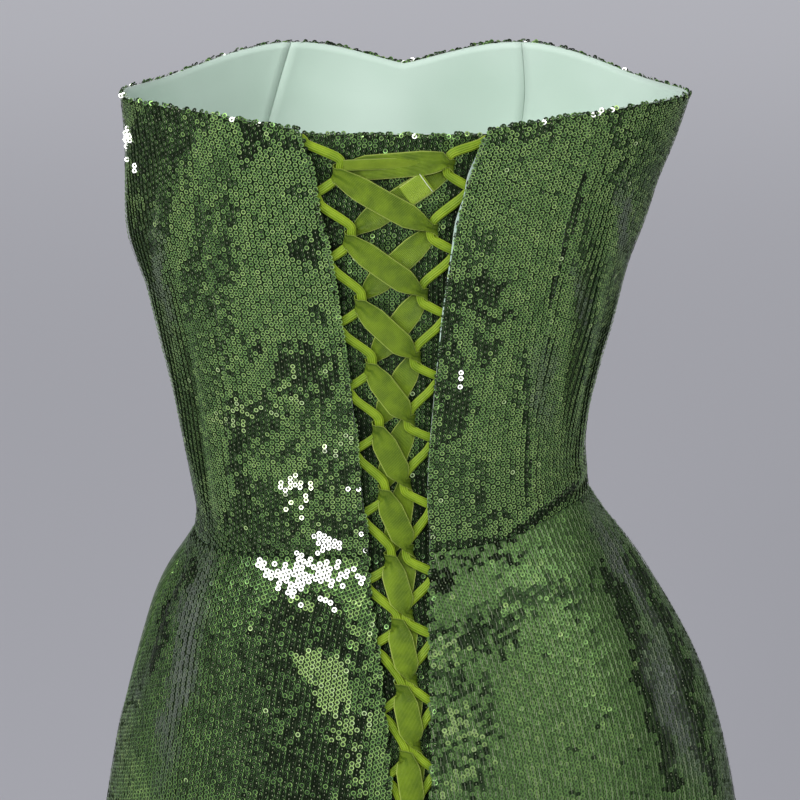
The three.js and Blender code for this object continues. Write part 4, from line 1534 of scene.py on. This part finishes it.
# The bar across the top is folded lengthwise, and a join is sewn in the run below it.
right_tip, left_tip, next_left_tip = ("right", 0), ("left", 0), ("left", 1)
bar_fold = along_run(right_tip, left_tip, (0.03, 0.97), shift=3.6, out=1.3, width=6.4, thickness=1.0)
join_patch = along_run(right_tip, next_left_tip, (0.2, 0.42), shift=0, out=1.5, width=13.4, thickness=1.0)
join_stitches = along_run(
    right_tip, next_left_tip, (0.216, 0.222), shift=0, out=2.8, width=12.6, thickness=0.6)
lace_mesh = joined("lacing_satin", (lace_mesh, 0), (bar_fold, 2), (join_patch, 2), (join_stitches, 1))
thread_shadow = (0.50, 0.56, 0.36, 1)
thread_light = (0.75, 0.79, 0.62, 1)
pale_thread, shade = new_finish("pale_thread")
shade.finish({"Roughness": 0.6}, Base_Color=shade.noise(900).mix(thread_shadow, thread_light))
lace = add_piece("lacing_satin", lace_mesh, "lace_ribbon", lace_satin, pale_thread, lit_lace_satin)
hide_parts("lacing_ribbon")

# Knot and free ends: the ribbon's two ends are tied over the last loops and hang over the skirt.
knot = {"side": -11.3, "level": -206.5, "out": 1.6, "width": 9.5, "height": 8.6, "thickness": 5.4}
knot_slopes = ((35, 1.0), (-40, 0.86))
knot_core = 0.36
knot_band = 5.2
knot_band_wall = 1.6
knot_centre = over_back(knot["side"], knot["level"], knot["out"])
knot_side = unit(over_back(knot["side"] + 1, knot["level"], knot["out"]) - knot_centre)
knot_up = unit(over_back(knot["side"], knot["level"] + 1, knot["out"]) - knot_centre)
knot_out = np.cross(knot_side, knot_up)
turns = np.linspace(0, 2 * np.pi, 33)[:, None]
knot_turns = []
for slope, size in knot_slopes:
    lean_way = math.radians(slope)
    across = knot_side * math.cos(lean_way) + knot_up * math.sin(lean_way)
    other = knot_up * math.cos(lean_way) - knot_side * math.sin(lean_way)
    ring = knot_centre + across * (np.cos(turns) * knot["width"] * knot_core * size)
    ring = ring + knot_out * (np.sin(turns) * knot["thickness"] * knot_core * size)
    widths = np.full(len(ring), knot_band * size)
    mesh, _ = sweep("knot_turn", ring, np.tile(other, (len(ring), 1)), widths, knot_band_wall, round_section)
    knot_turns.append((mesh, 0))
knot_piece = add_piece("lacing_knot", joined("lacing_knot", *knot_turns), "lace_ribbon", lace_satin)
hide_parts("lace_knot")

tails = {"left": (118, -15), "right": (96, 12)}
tail_width = (3.6, 12)
tail_apart = 2.6
tail_below = 1.2
tail_lift = 1.3
for name, (length, splay) in tails.items():
    share = np.linspace(0, 1, 40)
    side = knot["side"] + np.sign(splay) * tail_apart + splay * np.sin(share * 1.5)
    height = knot["level"] - knot["height"] / 2 - tail_below - share * length
    out = tail_lift + 0.5 * np.sin(share * 7 + splay)
    points = over_back(side, height, out)
    across = over_back(side + 1, height, out) - points
    opened = soft_step(share, 0, 0.5)
    widths = mixed(*tail_width, opened)
    heights = face * thin_edge + pleat * (1 - opened)[:, None] + crown
    section = (over_side + 0 * heights, heights)
    mesh, tail_length = sweep(f"lacing_end_{name}", points, across, widths, ribbon_wall, section)
    tail = add_piece(f"lacing_end_{name}", mesh, "lace_ribbon", lace_satin)
    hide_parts(f"lace_end_{name}")
